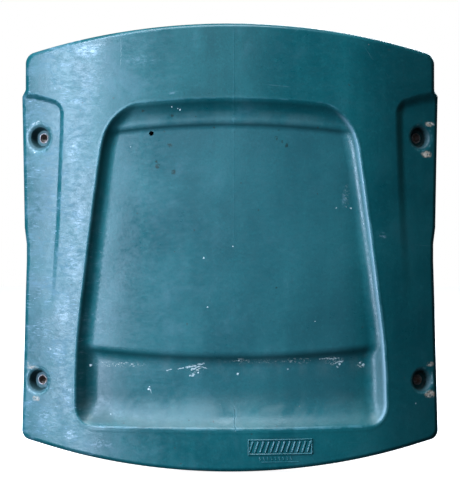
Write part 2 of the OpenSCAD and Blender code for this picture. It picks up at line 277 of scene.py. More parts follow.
def mark(arc, z):
    """The raised mark: slanted bars in a thin frame, with short ticks and a line below."""
    up = z - MARK_Z
    middle = (MARK_ARC0 + MARK_ARC1) / 2
    height = np.zeros_like(arc)
    bars, slant = 12, math.radians(-18)
    pitch = (MARK_ARC1 - MARK_ARC0) / bars
    for i in range(bars):
        right = arc - (MARK_ARC0 + (i + 0.5) * pitch)
        u = right * math.cos(slant) + up * math.sin(slant)
        w = -right * math.sin(slant) + up * math.cos(slant)
        height = np.maximum(height, stamp(u, w, 0.8, 5.9, soft=(-0.35, 0.45)))
    frame_u = np.abs(arc - middle) - (MARK_ARC1 - MARK_ARC0) / 2
    frame_w = np.abs(up) - 7.5
    off_frame = np.abs(np.maximum(frame_u, frame_w))
    height = MARK_H * np.maximum(height, 1 - smooth_step(0.2, 0.95, off_frame))
    for i in range(9):
        tick = MARK_ARC0 + 12 + i * 4.1
        lean = arc - tick + 0.25 * (up + 12.5)
        height = np.maximum(height, 0.34 * stamp(lean, up + 12.0, 0.5, 1.7))
    return np.maximum(height, 0.25 * stamp(arc - middle, up + 15.6, 20, 0.35))


def crack_arc(z):
    """Course of a short wandering crack near the bottom."""
    return 4.9 + 0.55 * np.sin(z * 0.42) + 0.25 * np.sin(z * 1.13 + 1)


def rear_relief(arc, z):
    """Height of the fine relief: waviness, mark, seam and crack."""
    height = 0.13 * waviness(arc, z, scale=90, seed=3) + mark(arc, z)
    seam = np.where(z > 12, 1.0, 0.45)
    height = height + 0.08 * seam * np.exp(-((arc - SEAM_ARC) / 0.42) ** 2)
    crack = ((1 - smooth_step(0.0, 0.34, np.abs(arc - crack_arc(z))))
             * smooth_step(-193, -188, z) * (1 - smooth_step(-170, -166, z)))
    return height - 0.55 * crack


def rear(arc, z, inset=0.0):
    """Points of the rear face."""
    angle = arc / REAR_R
    radius = REAR_R - inset - pad(REAR_R * np.sin(angle), z)
    if inset == 0:
        radius = radius + rear_relief(arc, z)
    x, y = radius * np.sin(angle), REAR_R - radius * np.cos(angle)
    y = y + recess(x, z, inset)
    for well in WELLS:
        near = (np.abs(angle - well.angle) < 0.06) & (np.abs(z - well.z) < 31)
        if not near.any():
            continue
        near_r, turn = radius[near], angle[near] - well.angle
        off_axis = np.hypot(near_r * np.sin(turn), z[near] - well.z)
        base = REAR_R - near_r * np.cos(turn)
        wanted = well_depth(off_axis - inset, well) + inset
        sunk = smooth_max(0.0, wanted - base, 1.4)
        # the flat bed is exact near the bore
        sunk = np.where(off_axis < 7.6 + inset, well.bed + inset - base, sunk)
        x[near] -= sunk * math.sin(well.angle)
        y[near] += sunk * math.cos(well.angle)
    return np.stack([x, y, z], -1)


def cavity_rear(arc, z):
    return rear(arc, z, CAVITY_WALL)


def front(arc, z, inset=0.0):
    """Points of the front face, flattened round each sleeve."""
    angle = arc / REAR_R
    radius = FRONT_R + inset + 0.12 * waviness(arc, z, scale=110, seed=11) * (inset == 0)
    for well in WELLS:
        off_axis = np.hypot(radius * np.sin(angle - well.angle), z - well.z)
        flat = 1 - smooth_step(8, 16, off_axis)
        plane = (FRONT_R + inset) / np.maximum(np.cos(angle - well.angle), 0.5)
        radius = radius * (1 - flat) + plane * flat
    return np.stack([radius * np.sin(angle), REAR_R - radius * np.cos(angle), z], -1)


def cavity_front(arc, z):
    return front(arc, z, CAVITY_WALL)


# --------------------------------------------------------------------------
# Flat lines and point grids
# --------------------------------------------------------------------------
def round_corner(before, at, after, radius, steps):
    """Points of the corner at a place on a line; a radius of 0 leaves it sharp."""
    if radius <= 0:
        return [at]
    before, at, after = map(np.array, (before, at, after))
    a = (before - at) / np.linalg.norm(before - at)
    b = (after - at) / np.linalg.norm(after - at)
    half = math.acos(np.clip(a @ b, -1, 1)) / 2
    middle = (a + b) / np.linalg.norm(a + b)
    c = at + middle * (radius / math.sin(half))
    f, g = at + a * (radius / math.tan(half)), at + b * (radius / math.tan(half))
    start = math.atan2(f[1] - c[1], f[0] - c[0])
    sweep = (math.atan2(g[1] - c[1], g[0] - c[0]) - start + math.pi) % (2 * math.pi) - math.pi
    return [c + radius * np.array([math.cos(start + sweep * i / steps),
                                   math.sin(start + sweep * i / steps)])
            for i in range(steps + 1)]


def rounded(right_half, spacing):
    """Closed line from its right half (x, z, corner radius), top to bottom, mirrored in x."""
    full = list(right_half) + [(-x, z, r) for x, z, r in reversed(right_half) if x > 0.01]
    line = []
    for i, here in enumerate(full):
        before, after, radius = full[i - 1], full[(i + 1) % len(full)], here[2]
        steps = max(3, int(math.ceil(radius * 1.6 / spacing))) if radius > 0 else 0
        turned = round_corner(before[:2], here[:2], after[:2], radius, steps)
        line += [tuple(point) for point in turned]
    out = []
    for a, b in zip(line, line[1:] + line[:1]):
        a, b = np.array(a), np.array(b)
        n = max(1, int(math.ceil(np.linalg.norm(b - a) / spacing)))
        out += [a + (b - a) * i / n for i in range(n)]
    return np.array(out)


def bowed(end_x, steps, height_at):
    """Outline entries from the middle out to end_x."""
    return [(end_x * i / steps, height_at(end_x * i / steps), 0) for i in range(steps + 1)]


def along(line, spacing, closed=False):
    """Points at even spacing along a line."""
    points = np.array(line, float)
    if closed:
        points = np.vstack([points, points[:1]])
    lengths = np.linalg.norm(np.diff(points, axis=0), axis=1)
    travel = np.concatenate([[0], np.cumsum(lengths)])
    n = max(2, int(round(travel[-1] / spacing)))
    stops = np.linspace(0, travel[-1], n + 1)
    if closed:
        stops = stops[:-1]
    return np.stack([np.interp(stops, travel, points[:, k]) for k in (0, 1)], 1)


def offset(points, distance, closed=False):
    """Move a line's points to the left of travel."""
    if closed:
        tangent = np.roll(points, -1, 0) - np.roll(points, 1, 0)
    else:
        tangent = np.gradient(points, axis=0)
    tangent = tangent / np.linalg.norm(tangent, axis=1, keepdims=True)
    return points + distance * np.stack([-tangent[:, 1], tangent[:, 0]], 1)


def arc_of(x, radius=REAR_R):
    return REAR_R * np.arcsin(np.clip(x / radius, -1, 1))


def unrolled(line, radius=REAR_R):
    """A line in (x, z) laid out as (arc, z)."""
    return np.stack([arc_of(line[:, 0], radius), line[:, 1]], 1)


def grid(arcs, heights):
    a, z = np.meshgrid(arcs, heights)
    return np.stack([a.ravel(), z.ravel()], 1)


def hex_grid(half_width, spacing):
    out = []
    for j, z in enumerate(np.arange(-240, 240, spacing * 0.866)):
        arcs = np.arange(-half_width + (j % 2) * spacing / 2, half_width, spacing)
        out.append(np.stack([arcs, np.full_like(arcs, z)], 1))
    return np.vstack(out)


def rows(x, heights, bow):
    """Level rows, each raised by bow along its length."""
    return [np.stack([arc_of(x), z + bow], 1) for z in heights]


def beside(arc, z, shifts):
    """Copies of an upright line, shifted sideways."""
    return np.vstack([np.stack([arc + shift, z], 1) for shift in shifts])


# --------------------------------------------------------------------------
# Triangulated sheets
# --------------------------------------------------------------------------
HOLE_CLEARANCE = 0.22


def inside(outline, points):
    """Which points lie inside a closed line."""
    result = np.zeros(len(points), bool)
    x, y = points[:, 0], points[:, 1]
    for (x0, y0), (x1, y1) in zip(outline, np.roll(outline, -1, 0)):
        if y0 == y1:
            continue
        crossed = (y0 > y) != (y1 > y)
        if crossed.any():
            cross_x = (x1 - x0) * (y[crossed] - y0) / (y1 - y0) + x0
            result[np.nonzero(crossed)[0]] ^= x[crossed] < cross_x
    return result


def with_layers(points, boundary, holes, layers):
    """Add each layer's points that keep the layer's least distance from all earlier ones."""
    for extra, least in layers:
        extra = extra[inside(boundary, extra)]
        for hole in holes:
            centre = hole.mean(0)
            radius = np.linalg.norm(hole - centre, axis=1).max()
            extra = extra[np.linalg.norm(extra - centre, axis=1) > radius + HOLE_CLEARANCE]
        tree = KDTree(len(points))
        for i, p in enumerate(points):
            tree.insert((p[0], p[1], 0.0), i)
        tree.balance()
        keep = [tree.find((p[0], p[1], 0.0))[2] > least for p in extra]
        points = np.vstack([points, extra[np.array(keep, bool)]])
    return points


def sides(triangle):
    a, b, c = map(int, triangle)
    return [frozenset(side) for side in ((a, b), (b, c), (c, a))]


def outside_rim(triangles, on_rim, rim_loop):
    """Peel off the triangles beyond the boundary, from the hull inwards.
    on_rim marks those whose corners all lie on the boundary."""
    dropped = np.zeros(len(triangles), bool)
    rim = {frozenset((int(a), int(b))) for a, b in zip(rim_loop, np.roll(rim_loop, -1))}
    owners = {}
    for t in np.nonzero(on_rim)[0]:
        for side in sides(triangles[t]):
            owners.setdefault(side, []).append(int(t))
    edges = np.sort(np.vstack([triangles[:, [0, 1]], triangles[:, [1, 2]],
                               triangles[:, [2, 0]]]), axis=1)
    unique, uses = np.unique(edges, axis=0, return_counts=True)
    hull = [frozenset((int(a), int(b))) for a, b in unique[uses == 1]]
    todo = [t for side in hull if side not in rim for t in owners.get(side, [])]
    while todo:
        t = todo.pop()
        if dropped[t]:
            continue
        dropped[t] = True
        for side in sides(triangles[t]):
            if side not in rim:
                todo += [o for o in owners[side] if not dropped[o]]
    return dropped


# flat is (arc, z), loops are the point numbers of the boundary and then of each hole
Sheet = namedtuple("Sheet", "flat points triangles loops")


def make_sheet(surface, boundary, holes, layers):
    """Triangulate a surface inside the boundary, less the holes, through the layers' points.
    layers is a list of (points, least distance to a point of an earlier layer)."""
    fixed = [boundary] + holes
    edges, loops, base = [], [], 0
    for loop in fixed:
        n = len(loop)
        loops.append(np.arange(base, base + n))
        edges += [(base + i, base + (i + 1) % n) for i in range(n)]
        base += n
    points = with_layers(np.vstack(fixed), boundary, holes, layers)
    out = delaunay_2d_cdt([Vector((float(a), float(b))) for a, b in points],
                          edges, [], 0, 1e-7, True)
    flat = np.array([(p[0], p[1]) for p in out[0]])
    renumbered = np.full(len(points), -1)
    for new, olds in enumerate(out[3]):
        for old in olds:
            renumbered[old] = new
    loops = [renumbered[loop] for loop in loops]
    triangles = np.array([face for face in out[2] if len(face) == 3])
    group = np.full(len(flat), -1)
    for i, loop in enumerate(loops):
        group[loop] = i
    ends = group[triangles]
    one_loop = (ends[:, 0] >= 0) & (ends[:, 0] == ends[:, 1]) & (ends[:, 1] == ends[:, 2])
    drop = one_loop & (ends[:, 0] > 0)
    drop |= outside_rim(triangles, one_loop & (ends[:, 0] == 0), loops[0])
    return Sheet(flat, surface(flat[:, 0], flat[:, 1]), triangles[~drop], loops)


# --------------------------------------------------------------------------
# Outline at the parting line
# --------------------------------------------------------------------------
TOP_R, BOTTOM_R, BOW_X = 985, 920, 204.0

# right half, top to bottom: (x, z, corner radius)
panel_half = bowed(BOW_X, 24, lambda x: HALF_H - float(sag(TOP_R, x)))
panel_half += [
    (HALF_W - 4.9, HALF_H - float(sag(TOP_R, HALF_W - 6)), 12), (HALF_W - 4.8, 172, 4),
    (HALF_W, 166, 3.5), (HALF_W - 3.3, 22, 4), (HALF_W - 5.8, 4, 9), (HALF_W - 5.9, -14, 0),
    (HALF_W - 0.4, -HALF_H + float(sag(BOTTOM_R, HALF_W - 3)), 10)]
panel_half += reversed(bowed(BOW_X, 24, lambda x: -HALF_H + float(sag(BOTTOM_R, x))))
OUTLINE = rounded(panel_half, 2.0)


def inset_line(inset):
    """The outline scaled in so that it moves by inset at the middle of each side."""
    return np.stack([OUTLINE[:, 0] * (1 - inset / HALF_W),
                     OUTLINE[:, 1] * (1 - inset / HALF_H)], 1)


# --------------------------------------------------------------------------
# Rear sheet
# --------------------------------------------------------------------------
# rear edge rounding: inset where it starts and ends, and how deep it goes
EDGE_START, EDGE_END, EDGE_DEPTH = 6.6, 1.25, 8.0
WELL_SIDES, VENT_SIDES = 64, 32
WELL_TURN = np.arange(WELL_SIDES) * 2 * math.pi / WELL_SIDES
VENT_TURN = np.arange(VENT_SIDES) * 2 * math.pi / VENT_SIDES
# radii of the point rings round each bore
WELL_RINGS = [6.1, 6.8, 7.5, 8.1, 8.5, 8.8, 9.1, 9.4, 9.7, 10.0, 10.35, 10.7, 11.0, 11.3,
              11.7, 12.2, 12.7, 13.1, 13.5, 13.9, 14.3, 14.7, 15.1, 15.5, 15.9, 16.4, 17.0, 18.0]

rear_rim = inset_line(EDGE_START)
# depth of the pads along the rim, settled on the bent face
rim_pad = pad(rear_rim[:, 0], rear_rim[:, 1])
for _ in range(2):
    rim_arc = arc_of(rear_rim[:, 0], REAR_R - rim_pad)
    rim_pad = pad(REAR_R * np.sin(rim_arc / REAR_R), rear_rim[:, 1])


def well_ring(well, radius, turn):
    """A ring round a well's axis, laid on the rear face."""
    z = well.z + radius * np.sin(turn)
    arc = REAR_R * well.angle + radius * np.cos(turn)
    for _ in range(3):
        depth = pad(REAR_R * np.sin(arc / REAR_R), z)
        arc = REAR_R * (well.angle + np.arcsin(radius * np.cos(turn) / (REAR_R - depth)))
    return np.stack([arc, z], 1)


def vent_ring(radius):
    return np.stack([VENT_ARC + radius * np.cos(VENT_TURN),
                     VENT_Z + radius * np.sin(VENT_TURN)], 1)


# right half of the recess's rim: (x, z, corner radius)
rim_half = bowed(88.0, 12, lambda x: 153.6 - float(sag(TOP_BOW, x)))
rim_half += [
    (119, 153.6 - float(sag(TOP_BOW, 118)), 26), (135.2, 112, 30), (151, 3, 60),
    (164.4, -100, 60), (167, -140, 20), (167.4, -190.5, 22), (60, -190.5, 0), (0, -190.5, 0)]
recess_rim = along(rounded(rim_half, 1.7), 1.7, closed=True)
recess_rim = along(recess_rim, 1.7, closed=True)
recess_rows = [unrolled(offset(recess_rim, -inward, closed=True))
               for inward in np.arange(-6.0, 15.4, 0.85)]

# inner side and upper edge of the right pad: (x, z)
PAD_EDGE = [(189.9, -76), (189.5, -71), (183.2, 27), (179.5, 124), (179.3, 145),
            (181.5, 152.5), (187, 156.7), (204, 162.4), (217, 165.2), (232, 166.0)]


def floor_rows():
    """Rows across the ledge's step, the lower step and the scoop."""
    ledge_x = np.arange(-126, 126.1, 1.8)
    step_x = np.arange(-160, 160.1, 1.9)
    scoop_x = np.arange(-170, 170.1, 1.9)
    scoop_z = list(np.arange(-196, -184, 0.55)) + list(np.arange(-184, -132, 1.5))
    return np.vstack(rows(ledge_x, np.arange(122.5, 135.5, 0.7), -sag(TOP_BOW, ledge_x))
                     + rows(step_x, np.arange(-127, -106, 0.85), sag(STEP_BOW, step_x))
                     + rows(scoop_x, scoop_z, np.zeros_like(scoop_x)))


def pad_rows():
    """Rows along the edges of both pads."""
    edge = along(PAD_EDGE, 1.7)
    out = []
    for inward in np.arange(-3.9, 7.2, 0.75):
        right = unrolled(offset(edge, -inward))
        out += [right, right * [-1, 1]]
    return np.vstack(out)


def rear_layers():
    """Points for the rear sheet, finest first, each with its least spacing."""
    wells = [well_ring(well, radius, WELL_TURN + (math.pi / WELL_SIDES if k % 2 else 0))
             for well in WELLS for k, radius in enumerate(WELL_RINGS, 1)]
    frame_grid = grid(np.arange(MARK_ARC0 - 1.6, MARK_ARC1 + 1.7, 0.45),
                      np.arange(MARK_Z - 9, MARK_Z + 9.1, 0.45))
    tick_grid = grid(np.arange(MARK_ARC0 + 9, MARK_ARC1 - 9, 0.5),
                     np.arange(MARK_Z - 16.8, MARK_Z - 9.4, 0.42))
    crack_z = np.arange(-194, -165, 0.7)
    seam_z = np.arange(-236, 236, 2.2)
    return [
        (np.vstack(wells), 0.3),
        (np.vstack([vent_ring(r) for r in (2.75, 3.1, 3.6, 4.4)]), 0.2),
        (frame_grid, 0.2),
        (tick_grid, 0.3),
        (beside(crack_arc(crack_z), crack_z,
                (-1.0, -0.5, -0.34, -0.17, 0, 0.17, 0.34, 0.5, 1.0)), 0.08),
        (np.vstack(recess_rows), 0.35),
        (floor_rows(), 0.62),
        (pad_rows(), 0.5),
        (beside(np.full_like(seam_z, SEAM_ARC), seam_z,
                (-1.6, -0.8, -0.4, 0, 0.4, 0.8, 1.6)), 0.3),
        (hex_grid(250, 3.0), 1.7)]


rear_sheet = make_sheet(
    rear, unrolled(rear_rim, REAR_R - rim_pad),
    [well_ring(well, BORE_R, WELL_TURN) for well in WELLS] + [vent_ring(VENT_R)],
    rear_layers())


def rear_normals(arc, z, reach=0.12):
    across = rear(arc + reach, z) - rear(arc - reach, z)
    up = rear(arc, z + reach) - rear(arc, z - reach)
    normal = np.cross(across, up)
    return normal / np.maximum(np.linalg.norm(normal, axis=1, keepdims=True), 1e-12)


# --------------------------------------------------------------------------
# Front sheet
# --------------------------------------------------------------------------
FRONT_EDGE, FRONT_EDGE_DEPTH = 4.2, 6.75    # front edge rounding: inset and depth
FRONT_RINGS = [6.4, 7.2, 8.2, 9.6, 11.4, 13.6]


def front_well_ring(well, radius):
    arc = REAR_R * (well.angle + np.arcsin(radius * np.cos(WELL_TURN) / FRONT_R))
    return np.stack([arc, well.z + radius * np.sin(WELL_TURN)], 1)


front_sheet = make_sheet(
    front, unrolled(inset_line(FRONT_EDGE), FRONT_R),
    [front_well_ring(well, BORE_R) for well in WELLS],
    [(np.vstack([front_well_ring(well, r) for well in WELLS for r in FRONT_RINGS]), 0.3),
     (hex_grid(260, 5.0), 2.6)])
# the bore loops sit exactly on the flat spot where each sleeve ends
for well, loop in zip(WELLS, front_sheet.loops[1:]):
    across = BORE_R * np.cos(WELL_TURN)
    front_sheet.points[loop] = np.stack([
        FRONT_R * math.sin(well.angle) + across * math.cos(well.angle),
        REAR_R - FRONT_R * math.cos(well.angle) + across * math.sin(well.angle),
        well.z + BORE_R * np.sin(WELL_TURN)], 1)


# --------------------------------------------------------------------------
# Edge rings, from the rear rim to the front rim
# --------------------------------------------------------------------------
EDGE_STEPS = 8


def on_bend(line, radius, y_shift=0.0):
    """A line in (x, z) laid on a bend of the given radius."""
    y = REAR_R - np.sqrt(radius ** 2 - line[:, 0] ** 2) + y_shift
    return np.stack([line[:, 0], y, line[:, 1]], 1)


def edge_rings():
    rings = []
    # the rear rim's fine relief fades out over the rounding
    relief = rear_sheet.points[rear_sheet.loops[0]] - on_bend(rear_rim, REAR_R - rim_pad)
    for i in range(1, EDGE_STEPS + 1):
        turn = i / EDGE_STEPS * math.pi / 2
        inset = EDGE_END + (EDGE_START - EDGE_END) * (1 - math.sin(turn))
        ring = on_bend(inset_line(inset), REAR_R - rim_pad, EDGE_DEPTH * (1 - math.cos(turn)))
        rings.append(ring + relief * (1 - i / EDGE_STEPS))
    rear_end = rings[-1]
    # the parting bead: (inset, y from the front face), rear to front
    bead = [on_bend(inset_line(inset), FRONT_R, y) for inset, y in (
        (0.0, -7.6), (-0.04, -7.35), (-0.22, -7.15), (-0.22, -6.95), (0.0, -FRONT_EDGE_DEPTH))]
    rings += [rear_end * (1 - t) + bead[0] * t for t in (0.12, 0.3, 0.5, 0.7, 0.88)]
    rings += bead
    for i in range(1, EDGE_STEPS):
        turn = i / EDGE_STEPS * math.pi / 2
        rings.append(on_bend(inset_line(FRONT_EDGE * (1 - math.cos(turn))), FRONT_R,
                             -FRONT_EDGE_DEPTH + FRONT_EDGE_DEPTH * math.sin(turn)))
    return rings


# --------------------------------------------------------------------------
# Hollow inside, reached through the vent hole
# --------------------------------------------------------------------------
CAVITY_BULGE = 0.012
# right half, top to bottom: (x, z, corner radius)
CAVITY_HALF = [(0, 214, 0), (120, 209, 0), (186, 196, 20), (172, 160, 30), (170, 60, 40),
               (172, -60, 40), (177, -150, 30), (188, -200, 18), (120, -212, 0), (0, -218, 0)]
cavity_rim = unrolled(rounded(CAVITY_HALF, 4.0))
cavity_rear_sheet = make_sheet(
    cavity_rear, cavity_rim, [vent_ring(VENT_R)],
    [(vent_ring(4.2), 0.5), (np.vstack(recess_rows[::3])[::2], 1.6), (hex_grid(250, 4.2), 2.4)])
cavity_front_sheet = make_sheet(cavity_front, cavity_rim, [], [(hex_grid(250, 9.0), 4.0)])


# --------------------------------------------------------------------------
# Putting the shell together
# --------------------------------------------------------------------------
REAR, EDGE, FRONT, BORE, INSIDE = range(5)      # kinds of face; BORE includes the vent


class Skin:
    """Points and faces of the shell, each face with its kind."""

    def __init__(self):
        self.points, self.faces, self.kinds = [], [], []
        self.count = 0

    def add_points(self, points):
        start = self.count
        self.points.append(points)
        self.count += len(points)
        return start

    def add_sheet(self, sheet, kind, flip=False):
        """Add a sheet and return its loops as point numbers of the skin."""
        start = self.add_points(sheet.points)
        triangles = sheet.triangles[:, ::-1] if flip else sheet.triangles
        self.faces.extend((triangles + start).tolist())
        self.kinds.extend([kind] * len(triangles))
        return [loop + start for loop in sheet.loops]

    def bridge(self, a, b, kind):
        for i in range(len(a)):
            j = (i + 1) % len(a)
            self.faces.append([int(a[i]), int(a[j]), int(b[j]), int(b[i])])
            self.kinds.append(kind)

    def loft(self, loop, rings, kind):
        """Bridge from a loop through each ring and return the last ring's loop."""
        for ring in rings:
            start = self.add_points(ring)
            following = np.arange(start, start + len(ring))
            self.bridge(loop, following, kind)
            loop = following
        return loop


skin = Skin()
# the rear sheet comes first, so its point numbers are also the skin's
rear_loops = skin.add_sheet(rear_sheet, REAR)
REAR_COUNT = len(rear_sheet.points)
last_loop = skin.loft(rear_loops[0], edge_rings(), EDGE)
front_loops = skin.add_sheet(front_sheet, FRONT, flip=True)
skin.bridge(last_loop, front_loops[0], EDGE)
for k in range(1, len(WELLS) + 1):
    rear_end = rear_sheet.points[rear_sheet.loops[k]]
    front_end = front_sheet.points[front_sheet.loops[k]]
    bore_rings = [rear_end * (1 - t) + front_end * t for t in (0.05, 0.5, 0.95)]
    last_loop = skin.loft(rear_loops[k], bore_rings, BORE)
    skin.bridge(last_loop, front_loops[k], BORE)
cavity_loops = skin.add_sheet(cavity_rear_sheet, INSIDE, flip=True)
cavity_front_loops = skin.add_sheet(cavity_front_sheet, INSIDE)
rear_end = cavity_rear_sheet.points[cavity_rear_sheet.loops[0]]
front_end = cavity_front_sheet.points[cavity_front_sheet.loops[0]]
cavity_rings = []
for t in (0.2, 0.5, 0.8):
    swell = 1 + CAVITY_BULGE * math.sin(math.pi * t)
    cavity_rings.append((rear_end * (1 - t) + front_end * t) * np.array([swell, 1.0, swell]))
last_loop = skin.loft(cavity_loops[0], cavity_rings, INSIDE)
skin.bridge(last_loop, cavity_front_loops[0], INSIDE)
skin.bridge(rear_loops[-1], cavity_loops[1], BORE)


def add_object(name, data):
    obj = bpy.data.objects.new(name, data)
    bpy.context.scene.collection.objects.link(obj)
    return obj


mesh = bpy.data.meshes.new("seat_back_shell_skin")
mesh.from_pydata(to_metres(np.vstack(skin.points)).tolist(), [], skin.faces)
mesh.update()
shell = add_object("moulded_shell", mesh)

bm = bmesh.new()
bm.from_mesh(mesh)
bmesh.ops.recalc_face_normals(bm, faces=bm.faces)
if bm.calc_volume(signed=True) < 0:
    bmesh.ops.reverse_faces(bm, faces=bm.faces)
bm.to_mesh(mesh)
bm.free()


def read_array(items, field, size, kind):
    values = np.empty(size, kind)
    items.foreach_get(field, values)
    return values


corner_vertex = read_array(mesh.loops, "vertex_index", len(mesh.loops), np.int32)
face_sizes = read_array(mesh.polygons, "loop_total", len(mesh.polygons), np.int32)
corner_kind = np.repeat(np.array(skin.kinds), face_sizes)


def shade_shell():
    """Smooth shading, sharp round the bores, with the rear face's own exact normals."""
    mesh.polygons.foreach_set("use_smooth", np.ones(len(mesh.polygons), bool))
    ends = read_array(mesh.edges, "vertices", len(mesh.edges) * 2, np.int32).reshape(-1, 2)
    ring = np.full(skin.count, -1)
    for i, loop in enumerate(rear_loops[1:] + front_loops[1:] + cavity_loops[1:]):
        ring[loop] = i
    sharp = (ring[ends[:, 0]] >= 0) & (ring[ends[:, 0]] == ring[ends[:, 1]])
    attribute = (mesh.attributes.get("sharp_edge")
                 or mesh.attributes.new("sharp_edge", "BOOLEAN", "EDGE"))
    attribute.data.foreach_set("value", sharp)
    mesh.update()
    normals = read_array(mesh.corner_normals, "vector", len(mesh.loops) * 3, np.float32)
    normals = normals.reshape(-1, 3)
    exact = (corner_vertex < REAR_COUNT) & (corner_kind != BORE)
    own = rear_normals(rear_sheet.flat[:, 0], rear_sheet.flat[:, 1])[corner_vertex[exact]]
    flip = np.sign((own * normals[exact]).sum(1, keepdims=True))
    flip[flip == 0] = 1
    normals[exact] = own * flip
    mesh.normals_split_custom_set(normals.tolist())


shade_shell()


# --------------------------------------------------------------------------
# Values the plastic reads from the mesh
# --------------------------------------------------------------------------
def store(name, values):
    """Save one value per point; points past the given ones get 0."""
    full = np.zeros(skin.count, np.float32)
    full[:len(values)] = values
    mesh.attributes.new(name, "FLOAT", "POINT").data.foreach_set("value", full)


def rear_depth(arc, z):
    points = rear(arc, z)
    return REAR_R - np.hypot(points[:, 0], REAR_R - points[:, 1])


def store_rear_values(reach=0.9):
    arc, z = rear_sheet.flat[:, 0], rear_sheet.flat[:, 1]
    depth = rear_depth(arc, z)
    right, left = rear_depth(arc + reach, z), rear_depth(arc - reach, z)
    above, below = rear_depth(arc, z + reach), rear_depth(arc, z - reach)
    # how convex (+) or hollow (-) the face is, and how deep it lies
    store("curv", np.clip((right + left + above + below - 4 * depth) / reach ** 2, -1, 1))
    store("deep", depth)

    walls, rims = np.zeros(REAR_COUNT), np.zeros(REAR_COUNT)
    radius = REAR_R - pad(REAR_R * np.sin(arc / REAR_R), z)
    for well in WELLS:
        mouth = well.mouth
        off_axis = np.hypot(radius * np.sin(arc / REAR_R - well.angle), z - well.z)
        # painted shade: darkest on each well's steep wall, half as dark on its bed
        walls += ((0.5 + 0.5 * smooth_step(8.4, 9.2, off_axis))
                  * (1 - 0.3 * smooth_step(10.8, 12.2, off_axis))
                  * (1 - smooth_step(mouth - 2.4, mouth - 0.6, off_axis)))
        # pale rubbing and painted highlight on the rim, full strength on the left wells
        rims += (1.0 if well.angle < 0 else 0.35) * (
            smooth_step(mouth - 0.9, mouth, off_axis)
            * (1 - smooth_step(mouth + 0.1, mouth + 1.0, off_axis)))
    store("well_wall", walls)
    store("well_rim", rims)

    slope_right, slope_up = (right - left) / (2 * reach), (above - below) / (2 * reach)
    in_recess = np.abs(arc) < 176
    # painted shade: the recess's left and upper walls, which face away from the light, and its
    # lower left corner
    lit_away = smooth_step(0.24, 0.76, np.maximum(slope_right, 0) + np.maximum(-slope_up, 0))
    low_corner_shade = (0.7 * (1 - smooth_step(-146, -104, arc)) * smooth_step(2, 6, depth)
                  * (1 - smooth_step(-132, -112, z)))
    store("shade", in_recess * np.clip(lit_away + low_corner_shade, 0, 1))
    # painted highlight: the outer line of the recess's right wall
    store("glint", in_recess * (arc > 0) * smooth_step(0.3, 0.8, -slope_right)
          * smooth_step(0.3, 1.0, depth) * (1 - smooth_step(1.6, 4.6, depth)))


def store_zone():
    """0 on the rear and edge, 0.5 in the bores, 1 on the front, 2 inside."""
    zone = np.zeros(skin.count, np.float32)
    for kind, value in ((FRONT, 1.0), (BORE, 0.5), (INSIDE, 2.0)):
        numbers = np.unique(corner_vertex[corner_kind == kind])
        if kind == BORE:
            numbers = numbers[zone[numbers] == 0]
        zone[numbers] = value
    zone[:REAR_COUNT] = 0
    store("zone", zone)


store_rear_values()
store_zone()


# --------------------------------------------------------------------------
# Sleeves: turned steel tubes with broken edges
# --------------------------------------------------------------------------
SLEEVE_BORE_R, SLEEVE_R = 4.35, 5.53


def sleeve_profile(bed):
    """Closed section of (radius, depth)."""
    start, end = bed - SLEEVE_PROUD, PANEL_T
    stations = (0.15, 0.3, 0.5, 0.7, 0.85)
    bore, outer = SLEEVE_BORE_R, SLEEVE_R
    return (
        [(bore + 0.3, start), (bore + 0.2, start + 0.04), (bore + 0.06, start + 0.16),
         (bore, start + 0.32)]
        + [(bore, start + t * (end - start)) for t in stations]
        + [(bore, end - 0.45), (bore + 0.12, end - 0.15), (bore + 0.4, end),
           (outer - 0.45, end), (outer - 0.15, end - 0.12), (outer, end - 0.4)]
        + [(outer, end - t * (end - start)) for t in stations]
        + [(outer, start + 0.35), (outer - 0.08, start + 0.16), (outer - 0.2, start + 0.04),
           (outer - 0.34, start)])


def lathe(name, angle, z, profile, sides_round=72):
    """A ring turned from a closed section about a radial line of the bend."""
    m = len(profile)
    outward = np.array([math.sin(angle), -math.cos(angle), 0.0])
    across = np.array([math.cos(angle), math.sin(angle), 0.0])
    up = np.array([0, 0, 1.0])
    centre = np.array([0, REAR_R, z])
    points, faces = [], []
    for i in range(sides_round):
        turn = i * 2 * math.pi / sides_round
        j = (i + 1) % sides_round
        for k, (radius, depth) in enumerate(profile):
            points.append(centre + outward * (REAR_R - depth)
                          + across * radius * math.cos(turn) + up * radius * math.sin(turn))
            n = (k + 1) % m
            faces.append([i * m + k, i * m + n, j * m + n, j * m + k])
    tube = bpy.data.meshes.new(name)
    tube.from_pydata(to_metres(np.array(points)).tolist(), [], faces)
    tube.update()
    bm = bmesh.new()
    bm.from_mesh(tube)
    bmesh.ops.recalc_face_normals(bm, faces=bm.faces)
    for edge in bm.edges:
        if len(edge.link_faces) == 2 and edge.calc_face_angle() > math.radians(31):
            edge.smooth = False
    for face in bm.faces:
        face.smooth = True
    bm.to_mesh(tube)
    bm.free()
    return add_object(name, tube)


sleeves = [lathe("tube_" + well.name, well.angle, well.z, sleeve_profile(well.bed))
           for well in WELLS]


